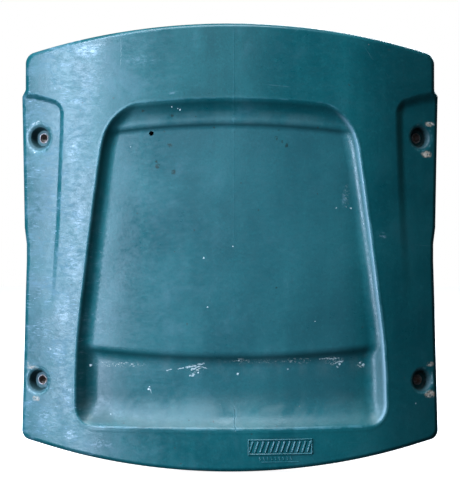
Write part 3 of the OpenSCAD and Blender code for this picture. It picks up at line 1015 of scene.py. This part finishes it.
# --------------------------------------------------------------------------
# Node tree helper
# --------------------------------------------------------------------------
class Tree:
    """Short calls for building a material's or world's node tree."""

    def __init__(self, owner, output="ShaderNodeOutputMaterial"):
        self.owner = owner
        owner.use_nodes = True
        self.tree = owner.node_tree
        self.tree.nodes.clear()
        self.out = self.tree.nodes.new(output)

    def feed(self, socket, value):
        """Link a socket, or set its value; a colour of three gets an alpha of 1."""
        if isinstance(value, bpy.types.NodeSocket):
            self.tree.links.new(value, socket)
            return
        if hasattr(value, "__len__") and len(value) == 3 and len(socket.default_value) == 4:
            value = tuple(value) + (1,)
        socket.default_value = value

    def node(self, kind, props=None, **inputs):
        """A new node; underscores in input names stand for spaces."""
        node = self.tree.nodes.new(kind)
        for key, value in (props or {}).items():
            setattr(node, key, value)
        for key, value in inputs.items():
            self.feed(node.inputs[key.replace("_", " ")], value)
        return node

    def math(self, operation, a, b, clamp=False):
        node = self.node("ShaderNodeMath", {"operation": operation, "use_clamp": clamp})
        self.feed(node.inputs[0], a)
        self.feed(node.inputs[1], b)
        return node.outputs[0]

    def vector(self, operation, a, b=None, scale=None):
        node = self.node("ShaderNodeVectorMath", {"operation": operation})
        self.feed(node.inputs[0], a)
        if b is not None:
            self.feed(node.inputs[1], b)
        if scale is not None:
            self.feed(node.inputs["Scale"], scale)
        scalar = operation in ("LENGTH", "DISTANCE", "DOT_PRODUCT")
        return node.outputs["Value" if scalar else 0]

    def fade(self, value, between, to=(0.0, 1.0)):
        """Smooth change over a range of value."""
        node = self.node("ShaderNodeMapRange", {"interpolation_type": "SMOOTHSTEP", "clamp": True})
        for i, part in enumerate((value, *between, *to)):
            self.feed(node.inputs[i], part)
        return node.outputs[0]

    def mix(self, factor, a, b):
        node = self.node("ShaderNodeMix", {"data_type": "RGBA"}, Factor=factor)
        for name, value in (("A", a), ("B", b)):
            self.feed([i for i in node.inputs if i.name == name and i.type == "RGBA"][0], value)
        return [o for o in node.outputs if o.type == "RGBA"][0]

    def noise(self, place, scale, detail=3.0, rough=0.55, distort=0.0, output="Fac"):
        return self.node("ShaderNodeTexNoise", Vector=place, Scale=scale, Detail=detail,
                         Roughness=rough, Distortion=distort).outputs[output]

    def patchy(self, place, between, **noise):
        """Noise pushed towards 0 and 1."""
        return self.fade(self.noise(place, **noise), between)

    def chain(self, operation, values):
        result, *rest = values
        for value in rest:
            result = self.math(operation, result, value)
        return result

    def times(self, *values):
        return self.chain("MULTIPLY", values)

    def largest(self, *values):
        return self.chain("MAXIMUM", values)

    def object_place(self):
        return self.node("ShaderNodeTexCoord").outputs["Object"]

    def surface(self, shader):
        self.feed(self.out.inputs["Surface"], shader)

    def principled(self, height, **inputs):
        """Finish with a principled surface whose bump height is in metres."""
        bump = self.node("ShaderNodeBump", Strength=1.0, Distance=1.0, Height=height)
        self.surface(self.node("ShaderNodeBsdfPrincipled", Normal=bump.outputs[0],
                               **inputs).outputs[0])


# --------------------------------------------------------------------------
# Wear and painted sheen on the rear face, in mm from the panel's middle
# --------------------------------------------------------------------------
# (x, z, radius)
DARK_SPOTS = [
    (-91.5, 143.6, 1.6), (-60.6, 138.4, 2.1), (-35.8, 137.1, 1.0), (-63.7, 107.5, 3.2),
    (-76.4, 85.5, 3.2), (-59.5, 79.5, 3.4), (49.0, 115.3, 2.6), (55.3, 111.2, 1.9),
    (59.5, 107.6, 2.3), (48.7, -42.3, 1.3), (51.1, 123.2, 1.2), (-77.4, 90.5, 1.4)]
PALE_SPOTS = [
    (-85.9, -150.3, 1.6), (-85.3, -147.7, 1.0), (8.3, -133.4, 1.5), (-149.5, -126.3, 1.7),
    (-27.6, -10.9, 1.0), (-23.3, -62.6, 0.9), (2.9, 0.5, 0.8), (128.4, 42.1, 1.5),
    (112.5, 41.5, 0.8), (123.3, 43.2, 0.8), (-192.5, -108.4, 1.1), (-61.1, 147.5, 0.9),
    (-52.2, 144.6, 0.9), (-55.3, 146.1, 0.7), (90.1, -78.1, 0.8), (142.9, -125.9, 1.7),
    (139.6, -123.2, 1.0), (116.8, -124.7, 1.8), (119.5, -121.1, 1.4), (114.2, -127.3, 1.1),
    (-39.1, -134.5, 2.2), (-33.4, -131.9, 1.1), (9.4, -118.7, 1.0), (-211.5, 102.8, 1.0),
    (142.5, 24.9, 0.7), (61.6, -128.5, 0.8)]
# (start x, start z, end x, end z, half width, strength)
PALE_STROKES = [
    (-45.9, -127.1, -36.5, -124.8, 1.0, 0.9), (-40.7, -128.8, -32.3, -125.8, 0.9, 0.8),
    (-34.4, -123.5, -27.1, -122.2, 0.8, 0.8), (-29.2, -126.4, -24.0, -127.6, 0.7, 0.7),
    (-55.3, -128.7, -49.0, -127.0, 0.7, 0.6), (-42.2, -135.4, -37.5, -133.8, 1.1, 0.9),
    (-66.9, -130.1, -61.6, -129.2, 0.6, 0.5), (95.5, -118.5, 104.0, -117.3, 0.8, 0.7),
    (106.1, -118.2, 115.8, -118.2, 0.9, 0.8), (112.5, -122.5, 120.1, -121.1, 0.9, 0.8),
    (-114.7, 219.4, -114.7, 192.0, 0.4, 0.16), (-213.3, 133.7, -206.3, 136.1, 0.8, 0.5),
    (218.5, -134.7, 219.1, -147.7, 0.6, 0.3), (-84.8, -150.8, -83.2, -154.5, 0.7, 0.6),
    (214.5, 135.9, 221.5, 133.0, 1.0, 0.4), (-152.7, 213.7, -136.3, 214.5, 0.8, 0.4),
    (-154.9, 207.5, -140.7, 208.4, 0.8, 0.4)]
# elliptical patches: (x, z, x radius, z radius, strength)
CRUMBS = [
    (-35.4, -127.7, 13, 7, 0.9), (110.4, -120.4, 13, 6, 1.0), (73.2, -119.8, 20, 4, 0.8),
    (139.6, -125.3, 7, 5, 0.8), (-115.8, -124.7, 36, 4, 0.75), (10.4, -119.3, 7, 5, 0.6),
    (31.3, -120.4, 60, 3, 0.35), (126.6, 113.4, 8, 16, 0.12), (123.3, 55.3, 5, 16, 0.35)]
TAN = [
    (216.2, 133.9, 6, 3.2, 0.9), (212.7, 100.7, 7, 4.2, 1.0), (216.2, -158.3, 7.5, 5.0, 1.0),
    (216.7, -125.9, 6, 3.6, 0.6), (-212.7, -129.5, 8, 2.6, 0.6),
    (-209.2, -162.8, 5.5, 3.2, 0.75), (-217.3, -126.0, 3, 3, 0.5)]
# pale smears, mostly on the left flank and partly painted sheen; the first is a painted sheen patch
# at the top left
SMEARS_AND_SHEEN = [
    (-151.6, 209.4, 19, 10, 1.0), (-175.0, 194.7, 11, 3, 0.7), (-185.1, 170.7, 9, 3, 0.45),
    (-163.8, 155.8, 9, 4, 0.6), (-154.9, 145.9, 7, 3, 0.4), (-160.5, 31.4, 10, 24, 0.5),
    (-168.3, -15.4, 13, 26, 0.45), (-166.0, 103.8, 12, 20, 0.4), (-179.5, -66.8, 14, 30, 0.35),
    (-198.8, -144.5, 6, 18, 0.5), (-184.0, -111.8, 12, 14, 0.4), (-195.3, -183.0, 20, 16, 0.5),
    (-170.5, -199.8, 9, 8, 1.0), (-137.4, -207.7, 26, 6, 0.35), (-175.0, -157.4, 8, 24, 0.45),
    (-199.9, -83.3, 10, 20, 0.3), (-148.3, 173.2, 12, 14, 0.3), (-94.4, 196.6, 22, 9, 0.22),
    (162.7, 12.2, 5, 5, 0.45), (-60.6, 161.4, 6, 2, 0.25), (121.2, 50.0, 4, 12, 0.3)]
# level rubs, partly painted sheen: (noise offset, scale across, scale up, threshold)
RUBS_AND_SHEEN = [(2.3, 95.0, 760.0, 0.60), (9.1, 150.0, 1050.0, 0.62), (14.9, 60.0, 1300.0, 0.63)]
# scratches: (angle, scale, noise offset, threshold, strength)
SCRATCHES = [(0.6, 1.0, 3.1, 0.695, 0.55), (-0.9, 1.25, 7.7, 0.70, 0.5),
             (1.5, 0.8, 11.3, 0.70, 0.45), (0.1, 1.5, 19.7, 0.705, 0.4)]
# specks: (colour channel, radius fade, share picked, amount, colour)
SPECKS = [(0, (0.085, 0.04), (0.955, 0.965), 0.75, (0.42, 0.50, 0.50)),
          (1, (0.10, 0.05), (0.965, 0.975), 0.7, (0.03, 0.035, 0.03))]

PLAIN_PLASTIC = (0.003, 0.06, 0.068)
MIDDLE_Z = HALF_H * 0.001


def on_panel(x, z):
    """A place in mm from the panel's middle, as x and z in metres."""
    return x * 0.001, z * 0.001 + MIDDLE_Z


class Plastic(Tree):
    """Weathered teal plastic, with painted shade, sheen and highlights among its layers. Each
    method lays its layers over self.base.
    """

    def __init__(self):
        super().__init__(bpy.data.materials.new("moulded_plastic_look"))
        self.place = self.object_place()
        self.x, _, self.z = self.node("ShaderNodeSeparateXYZ", Vector=self.place).outputs
        self.flat = self.node("ShaderNodeCombineXYZ", X=self.x, Y=0.0, Z=self.z).outputs[0]
        self.curve, self.deep, self.zone = map(self.attribute, ("curv", "deep", "zone"))
        self.on_rear = self.fade(self.zone, between=(0.05, 0.35), to=(1.0, 0.0))
        self.ground()
        self.film_and_sheen()
        self.flank_scuffs_and_sheen()
        self.scratches()
        self.edges_and_corners()
        self.dust()
        self.recess_tones()
        self.warp()
        self.specks()
        self.pale_marks()
        self.patches()
        self.wells()
        self.unweathered()
        self.principled(self.bump_height(), Base_Color=self.base, Roughness=self.roughness(),
                        IOR=1.5)

    def attribute(self, name):
        return self.node("ShaderNodeAttribute", {"attribute_name": name}).outputs["Fac"]

    def cover(self, mask, colour, amount=None):
        """Lay a colour over the base where the mask is."""
        if amount is not None:
            mask = self.times(mask, amount)
        self.base = self.mix(mask, self.base, colour)

    def stretched(self, across, up, source=None):
        return self.vector("MULTIPLY", source or self.flat, (across, 1.0, up))

    def turned(self, angle, shift):
        return self.node("ShaderNodeMapping", {"vector_type": "POINT"}, Vector=self.flat,
                         Rotation=(0, angle, 0), Location=(shift, 0, shift)).outputs[0]

    def at_height(self, start, end):
        """Fade over a range of height, in metres from the panel's middle."""
        return self.fade(self.z, between=(MIDDLE_Z + start, MIDDLE_Z + end))

    def ground(self):
        """Slow clouds, upright flow streaks, fine mottling and dark grain."""
        self.cloud = self.noise(self.flat, scale=11.0, detail=4.0, rough=0.55, distort=0.3)
        streak = self.noise(self.stretched(across=60.0, up=5.0), scale=1.0, detail=4.0, rough=0.6)
        fine = self.noise(self.place, scale=260.0, rough=0.6)
        self.base = self.mix(self.fade(self.cloud, between=(0.36, 0.66)),
                             (0.0018, 0.070, 0.077), (0.0048, 0.096, 0.102))
        self.cover(self.fade(streak, between=(0.45, 0.75)), (0.012, 0.140, 0.140), amount=0.22)
        self.cover(self.fade(fine, between=(0.5, 0.8)), (0.014, 0.140, 0.142), amount=0.34)
        grain = self.patchy(self.place, between=(0.50, 0.30), scale=520.0, detail=2.0, rough=0.6)
        self.cover(grain, (0.0012, 0.046, 0.050), amount=0.30)

    def film_and_sheen(self):
        """Chalky film and painted sheen, stronger to the left, where the light falls."""
        film_and_sheen = self.times(
            self.patchy(self.flat, between=(0.50, 0.78), scale=23.0, detail=6.0, rough=0.62,
                        distort=0.6),
            self.fade(self.x, between=(0.12, -0.02), to=(0.045, 0.16)))
        left = self.times(
            self.fade(self.x, between=(-0.05, -0.20)),
            self.patchy(self.flat, between=(0.48, 0.74), scale=48.0, detail=5.0, rough=0.65,
                        distort=1.2), 0.20)
        self.chalk_and_sheen = self.math("ADD", film_and_sheen, left, clamp=True)
        # chalky film and painted sheen, paler where the light falls on the left
        self.cover(self.chalk_and_sheen, (0.13, 0.23, 0.28))

    def flank_scuffs_and_sheen(self):
        """Cloudy scuffing of the left flank and short level rubs across it, partly painted as pale
        sheen.
        """
        far = self.fade(self.x, between=(-0.135, -0.185))
        self.mottle = self.patchy(self.stretched(across=105.0, up=230.0), between=(0.38, 0.68),
                                  scale=1.0, detail=5.0, rough=0.66, distort=0.25)
        patch = self.patchy(self.stretched(across=24.0, up=38.0), between=(0.40, 0.62),
                            scale=1.0, detail=4.0, rough=0.6, distort=0.3)
        rubs_and_sheen = self.largest(*[
            self.patchy(self.stretched(across, up, self.turned(0.12 * (shift - 8.0) / 8.0, shift)),
                        between=(threshold, threshold + 0.06), scale=1.0, rough=0.6)
            for shift, across, up, threshold in RUBS_AND_SHEEN])
        rubs_and_sheen = self.times(rubs_and_sheen, self.patchy(self.flat, between=(0.46, 0.60), scale=52.0, rough=0.6),
                          self.fade(self.x, between=(-0.115, -0.165)), self.on_rear)
        scuffed_flank_sheen = self.times(far, patch, self.mottle, self.on_rear)
        # scuffing and rubs on the left flank, coloured as pale painted sheen
        self.cover(scuffed_flank_sheen, (0.24, 0.36, 0.46), amount=0.26)
        self.cover(rubs_and_sheen, (0.36, 0.50, 0.62), amount=0.50)
        self.scuffs_and_sheen = self.largest(scuffed_flank_sheen, rubs_and_sheen)

    def scratches(self):
        """Fine scratches: sets of stretched noise at different angles."""
        sets = []
        for angle, scale, shift, threshold, strength in SCRATCHES:
            line = self.patchy(
                self.stretched(900.0 * scale, 22.0 * scale, self.turned(angle, shift)),
                between=(threshold, threshold + 0.05), scale=1.0, detail=2.0, rough=0.5)
            where = self.patchy(self.vector("ADD", self.flat, (shift * 3.0, 0.0, shift)),
                                between=(0.50, 0.66), scale=16.0, rough=0.6)
            sets.append(self.times(line, where, strength))
        self.scratch = self.times(self.largest(*sets), self.on_rear)
        self.cover(self.scratch, (0.24, 0.38, 0.42), amount=0.45)

    def edges_and_corners(self):
        """Worn convex edges, and painted shade in the hollows."""
        worn = self.times(
            self.fade(self.curve, between=(0.06, 0.30)),
            self.patchy(self.place, between=(0.35, 0.65), scale=70.0, detail=4.0, rough=0.6))
        self.cover(worn, (0.10, 0.25, 0.29), amount=0.34)
        # painted shade: darker where the face is hollow
        hollow_shade = self.times(
            self.fade(self.curve, between=(-0.05, -0.45)),
            self.patchy(self.place, between=(0.25, 0.75), scale=40.0, detail=4.0, rough=0.6))
        self.cover(hollow_shade, (0.003, 0.030, 0.034), amount=0.50)

    def dust(self):
        """Pale dust in the scoop, on the ledge and on the lower step."""
        self.scoop = self.times(
            self.at_height(-0.146, -0.172), self.at_height(-0.197, -0.184),
            self.fade(self.deep, between=(0.6, 4.0)),
            self.patchy(self.flat, between=(0.34, 0.66), scale=26.0, detail=6.0, rough=0.62,
                        distort=0.8),
            self.fade(self.x, between=(0.165, 0.04), to=(0.35, 1.0)))
        self.cover(self.scoop, (0.17, 0.235, 0.215), amount=0.30)
        self.ledge = self.times(
            self.at_height(0.126, 0.131), self.fade(self.deep, between=(4.6, 6.4)),
            self.fade(self.deep, between=(9.0, 7.6)),
            self.patchy(self.flat, between=(0.3, 0.65), scale=42.0, detail=5.0, rough=0.6))
        self.cover(self.ledge, (0.15, 0.23, 0.22), amount=0.12)
        low_step = self.times(
            self.at_height(-0.144, -0.122), self.at_height(-0.111, -0.118),
            self.fade(self.deep, between=(11.0, 13.5)),
            self.patchy(self.flat, between=(0.42, 0.70), scale=55.0, detail=5.0, rough=0.65))
        self.cover(low_step, (0.14, 0.17, 0.16), amount=0.22)

    def recess_tones(self):
        """Paler floor, painted shade on the right side and on the walls facing away from the light,
        and a painted highlight on the right wall's outer line.
        """
        hollow = self.times(self.fade(self.deep, between=(5.0, 9.0)),
                            self.fade(self.x, between=(-0.13, -0.05)),
                            self.fade(self.x, between=(0.155, 0.11)))
        self.cover(hollow, (0.12, 0.23, 0.26), amount=0.105)
        # painted shade: darker toward the right, which faces away from the light
        self.cover(self.fade(self.x, between=(0.12, 0.19)), (0.0002, 0.018, 0.022), amount=0.42)
        # painted shade on the recess walls that face away from the light, and in its lower left
        # corner
        self.cover(self.attribute("shade"), (0.0006, 0.026, 0.030), amount=0.64)
        # painted highlight along the outer line of the recess's right wall
        self.cover(self.attribute("glint"), (0.36, 0.54, 0.62), amount=0.27)

    def warp(self):
        """Shifted places, in metres, that give the placed marks ragged edges."""
        shift = self.noise(self.flat, scale=240.0, rough=0.6, output="Color")
        shift = self.vector("SUBTRACT", shift, (0.5, 0.5, 0.5))
        shift = self.vector("SCALE", shift, scale=0.004)
        self.ragged = self.vector("MULTIPLY", self.vector("ADD", self.flat, shift),
                                  (1.0, 0.0, 1.0))

    def spot(self, x, z, radius, core):
        """A round spot, solid out to core of its radius."""
        x, z = on_panel(x, z)
        distance = self.vector("DISTANCE", self.ragged, (x, 0.0, z))
        return self.fade(distance, between=(radius * 0.001, radius * 0.001 * core))

    def stroke(self, start, end, width, core=0.4):
        """A worn line between two places."""
        (x0, z0), (x1, z1) = on_panel(*start), on_panel(*end)
        dx, dz = x1 - x0, z1 - z0
        length = math.hypot(dx, dz)
        from_start = self.vector("SUBTRACT", self.ragged, (x0, 0.0, z0))
        travel = self.vector("DOT_PRODUCT", from_start, (dx / length, 0.0, dz / length))
        share = self.math("DIVIDE", travel, length, clamp=True)
        nearest = self.vector("SCALE", (dx, 0.0, dz), scale=share)
        distance = self.vector("DISTANCE", from_start, nearest)
        return self.fade(distance, between=(width * 0.001, width * 0.001 * core))

    def ellipses(self, table, core):
        out = []
        for x, z, radius_x, radius_z, strength in table:
            x, z = on_panel(x, z)
            away = self.vector("SUBTRACT", self.ragged, (x, 0.0, z))
            away = self.vector("MULTIPLY", away, (1000.0 / radius_x, 0.0, 1000.0 / radius_z))
            distance = self.vector("LENGTH", away)
            out.append(self.times(self.fade(distance, between=(1.0, core)), strength))
        return self.largest(*out)

    def specks(self):
        """Placed dark spots, then sparse small specks all over."""
        dark = self.largest(*[self.spot(*entry, core=0.45) for entry in DARK_SPOTS])
        broken = self.patchy(self.place, between=(0.36, 0.50), scale=420.0, rough=0.7)
        self.cover(self.times(self.on_rear, dark, broken), (0.012, 0.034, 0.030), amount=0.9)
        cells = self.node("ShaderNodeTexVoronoi", Vector=self.ragged, Scale=95.0, Randomness=1.0)
        pick = self.node("ShaderNodeSeparateColor", Color=cells.outputs["Color"])
        for channel, size, chosen, amount, colour in SPECKS:
            dot = self.times(self.fade(cells.outputs["Distance"], between=size),
                             self.fade(pick.outputs[channel], between=chosen))
            self.cover(self.times(self.on_rear, dot), colour, amount=amount)

    def pale_marks(self):
        """Pale scuffs, scratches and nicks, broken up by fine noise."""
        crumble = self.patchy(self.flat, between=(0.40, 0.56), scale=420.0, rough=0.65)
        strokes = [self.times(self.stroke((x0, z0), (x1, z1), width), strength)
                   for x0, z0, x1, z1, width, strength in PALE_STROKES]
        spots = [self.spot(*entry, core=0.5) for entry in PALE_SPOTS]
        self.pale = self.times(self.largest(*strokes, *spots),
                               self.math("ADD", self.times(crumble, 0.8), 0.2))
        self.cover(self.times(self.on_rear, self.pale), (0.66, 0.72, 0.70), amount=0.92)

    def patches(self):
        """Soft smears, some of them painted sheen, dense pale crumbs, and tan wear beside the
        wells.
        """
        self.smear_and_sheen = self.ellipses(SMEARS_AND_SHEEN, core=0.15)
        lines = self.patchy(self.stretched(across=170.0, up=430.0), between=(0.46, 0.62),
                            scale=1.0, detail=5.0, rough=0.72, distort=0.5)
        # pale smears and painted sheen
        self.cover(self.times(self.on_rear, self.times(self.smear_and_sheen, lines)),
                   (0.40, 0.52, 0.62), amount=0.66)
        grains = self.patchy(self.stretched(across=1.0, up=1.6), between=(0.55, 0.62),
                             scale=330.0, detail=4.0, rough=0.7, distort=1.2)
        self.crumbs = self.times(self.ellipses(CRUMBS, core=0.25), grains)
        self.cover(self.times(self.on_rear, self.crumbs), (0.60, 0.60, 0.54), amount=0.95)
        self.tan = self.times(
            self.ellipses(TAN, core=0.45),
            self.patchy(self.flat, between=(0.40, 0.54), scale=210.0, detail=4.0, rough=0.7))
        tan_colour = self.mix(self.patchy(self.flat, between=(0.4, 0.6), scale=330.0),
                              (0.42, 0.29, 0.20), (0.62, 0.52, 0.42))
        self.cover(self.times(self.on_rear, self.tan), tan_colour, amount=0.85)

    def wells(self):
        """Painted shade on the steep walls and beds, pale rubbing and painted highlight on the
        rims.
        """
        self.well_wall = self.attribute("well_wall")
        # painted shade down the wells
        self.cover(self.well_wall, (0.0010, 0.020, 0.021), amount=0.80)
        rim = self.times(
            self.attribute("well_rim"),
            self.patchy(self.place, between=(0.42, 0.60), scale=300.0, detail=4.0, rough=0.65))
        # pale rubbing and painted highlight on the well rims
        self.cover(rim, (0.30, 0.45, 0.45), amount=0.42)

    def unweathered(self):
        """Plain plastic in the bores and inside."""
        past_bores = self.fade(self.zone, between=(0.8, 1.0))
        self.cover(self.fade(self.zone, between=(0.3, 0.5)),
                   self.mix(past_bores, PLAIN_PLASTIC, self.base))
        self.cover(self.fade(self.zone, between=(1.5, 1.9)), PLAIN_PLASTIC)

    def roughness(self):
        polish = self.patchy(self.flat, between=(0.35, 0.65), scale=60.0, detail=4.0, rough=0.65,
                             distort=0.4)
        # (operation, mask, amount)
        terms = [
            ("ADD", self.math("SUBTRACT", self.cloud, 0.5), 0.22),
            ("ADD", self.chalk_and_sheen, 0.35),
            ("SUBTRACT", self.times(self.smear_and_sheen, polish), 0.07),
            ("ADD", self.math("SUBTRACT", self.mottle, 0.5), 0.10),
            ("ADD", self.scuffs_and_sheen, 0.18),
            ("ADD", self.scratch, 0.12),
            ("ADD", self.scoop, 0.25),
            ("ADD", self.ledge, 0.1),
            ("ADD", self.well_wall, 0.28),
            ("ADD", self.times(self.largest(self.pale, self.crumbs, self.tan), self.on_rear), 0.3)]
        rough = 0.335
        for operation, mask, amount in terms:
            rough = self.math(operation, rough, self.times(mask, amount))
        uneven = self.patchy(self.flat, between=(0.3, 0.7), scale=70.0, detail=5.0, rough=0.6)
        return self.math("ADD", rough, self.times(uneven, 0.06), clamp=True)

    def bump_height(self):
        """Fine peel, broad dents and a middle texture, in metres."""
        peel = self.noise(self.place, scale=620.0)
        dents = self.noise(self.place, scale=85.0, rough=0.5)
        middle = self.noise(self.place, scale=190.0, detail=4.0, rough=0.6, distort=0.3)
        return self.chain("ADD", [self.times(peel, 0.000026), self.times(dents, 0.000110),
                                  self.times(middle, 0.000085)])


def steel():
    """Dull steel with patches of rust."""
    tree = Tree(bpy.data.materials.new("sleeve_steel_look"))
    place = tree.object_place()
    big = tree.noise(place, scale=160.0, detail=4.0, rough=0.6, distort=0.4)
    small = tree.noise(place, scale=900.0, detail=4.0, rough=0.65)
    blend = tree.math("ADD", tree.times(big, 0.65), tree.times(small, 0.35))
    rust = tree.fade(blend, between=(0.46, 0.60))
    bare_colour = tree.mix(tree.fade(small, between=(0.3, 0.7)),
                           (0.20, 0.18, 0.18), (0.36, 0.32, 0.32))
    rust_colour = tree.mix(small, (0.085, 0.042, 0.026), (0.27, 0.17, 0.125))
    tree.principled(
        tree.math("ADD", tree.times(small, 0.00003), tree.times(rust, 0.00004)),
        Base_Color=tree.mix(rust, bare_colour, rust_colour),
        Metallic=tree.math("SUBTRACT", 0.65, tree.times(rust, 0.55)),
        Roughness=tree.math("ADD", 0.42, tree.times(rust, 0.35)))
    return tree.owner


def finish_piece(piece, material, replaced):
    piece.data.materials.append(material)
    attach(piece, "root")
    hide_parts(replaced)


plastic_look, steel_look = Plastic().owner, steel()
finish_piece(shell, plastic_look, "seat_back_shell")
for sleeve, well in zip(sleeves, WELLS):
    finish_piece(sleeve, steel_look, well.name)


# --------------------------------------------------------------------------
# Stage, light and camera, in metres
# --------------------------------------------------------------------------
FLOOR_HALF, FLOOR_Z = 6, -0.0006
CAMERA_DISTANCE = 1.250     # from the rear apex
BLUE = (0.60, 0.76, 1.0)
centre = Vector((0.0, (cad_lo.y + cad_hi.y) / 2, (cad_lo.z + cad_hi.z) / 2))


def floor_look():
    """Near white to the camera, pale grey to everything else."""
    tree = Tree(bpy.data.materials.new("floor_look"))
    seen = tree.node("ShaderNodeLightPath").outputs["Is Camera Ray"]
    grain = tree.noise(tree.object_place(), scale=30.0, detail=4.0, rough=0.6)
    pale = tree.mix(grain, (0.80, 0.81, 0.82), (0.86, 0.865, 0.87))
    diffuse = tree.node("ShaderNodeBsdfDiffuse", Color=tree.mix(seen, (0.055, 0.056, 0.058), pale))
    glow = tree.node("ShaderNodeEmission", Color=(1, 1, 1), Strength=tree.times(seen, 0.93))
    both = tree.node("ShaderNodeAddShader")
    tree.feed(both.inputs[0], diffuse.outputs[0])
    tree.feed(both.inputs[1], glow.outputs[0])
    tree.surface(both.outputs[0])
    return tree.owner


floor_mesh = bpy.data.meshes.new("floor")
floor_mesh.from_pydata([(x * FLOOR_HALF, y * FLOOR_HALF, FLOOR_Z)
                        for x, y in ((-1, -1), (1, -1), (1, 1), (-1, 1))], [], [(0, 1, 2, 3)])
floor = add_object("floor", floor_mesh)
floor_mesh.materials.append(floor_look())
floor.visible_shadow = False
floor.visible_glossy = False
floor.visible_diffuse = False


def studio_world():
    """White to the camera, a dim blue to everything else."""
    tree = Tree(bpy.data.worlds.new("studio"), output="ShaderNodeOutputWorld")
    seen = tree.node("ShaderNodeLightPath").outputs["Is Camera Ray"]
    dim = tree.node("ShaderNodeBackground", Color=(0.55, 0.75, 1.0), Strength=0.03)
    white = tree.node("ShaderNodeBackground", Color=(1, 1, 1), Strength=1.0)
    choose = tree.node("ShaderNodeMixShader")
    for socket, source in zip(choose.inputs, (seen, dim.outputs[0], white.outputs[0])):
        tree.feed(socket, source)
    tree.surface(choose.outputs[0])
    return tree.owner


bpy.context.scene.world = studio_world()


def softbox(name, azimuth, elevation, distance, width, height, power, colour):
    """A rectangular light aimed at the middle of the shell.
    The azimuth is from the camera's side, positive to the right, in degrees."""
    azimuth, elevation = math.radians(azimuth), math.radians(elevation)
    toward = Vector((math.sin(azimuth) * math.cos(elevation),
                     -math.cos(azimuth) * math.cos(elevation), math.sin(elevation)))
    light = bpy.data.lights.new(name, "AREA")
    light.shape = "RECTANGLE"
    light.size, light.size_y = width, height
    light.energy = power
    light.color = colour
    lamp = add_object(name, light)
    lamp.location = centre + toward * distance
    lamp.rotation_mode = "QUATERNION"
    lamp.rotation_quaternion = toward.to_track_quat("Z", "Y")


softbox("key_left", azimuth=-47.5, elevation=20, distance=2.6, width=0.44, height=3.8,
        power=198, colour=BLUE)
softbox("over", azimuth=-18, elevation=72, distance=2.4, width=1.6, height=1.2,
        power=70, colour=(0.75, 0.88, 1.0))
softbox("fill", azimuth=-7, elevation=20, distance=3.0, width=1.5, height=1.5,
        power=9.4, colour=(0.80, 0.92, 1.0))
softbox("behind", azimuth=158, elevation=30, distance=3.0, width=1.8, height=1.5,
        power=75, colour=(0.84, 0.93, 1.0))
softbox("low_left", azimuth=-40, elevation=-30, distance=2.2, width=0.9, height=0.10,
        power=2.6, colour=BLUE)

lens = bpy.data.cameras.new("camera")
lens.sensor_width = 36.0
lens.lens = 87.28
lens.clip_start, lens.clip_end = 0.05, 50
camera = add_object("camera", lens)
camera.location = (0.0, APEX_Y * 0.001 - CAMERA_DISTANCE, MIDDLE_Z)
camera.rotation_euler = (math.radians(90), 0, 0)
scene = bpy.context.scene
scene.camera = camera
scene.view_settings.view_transform = "Standard"
scene.view_settings.look = "None"
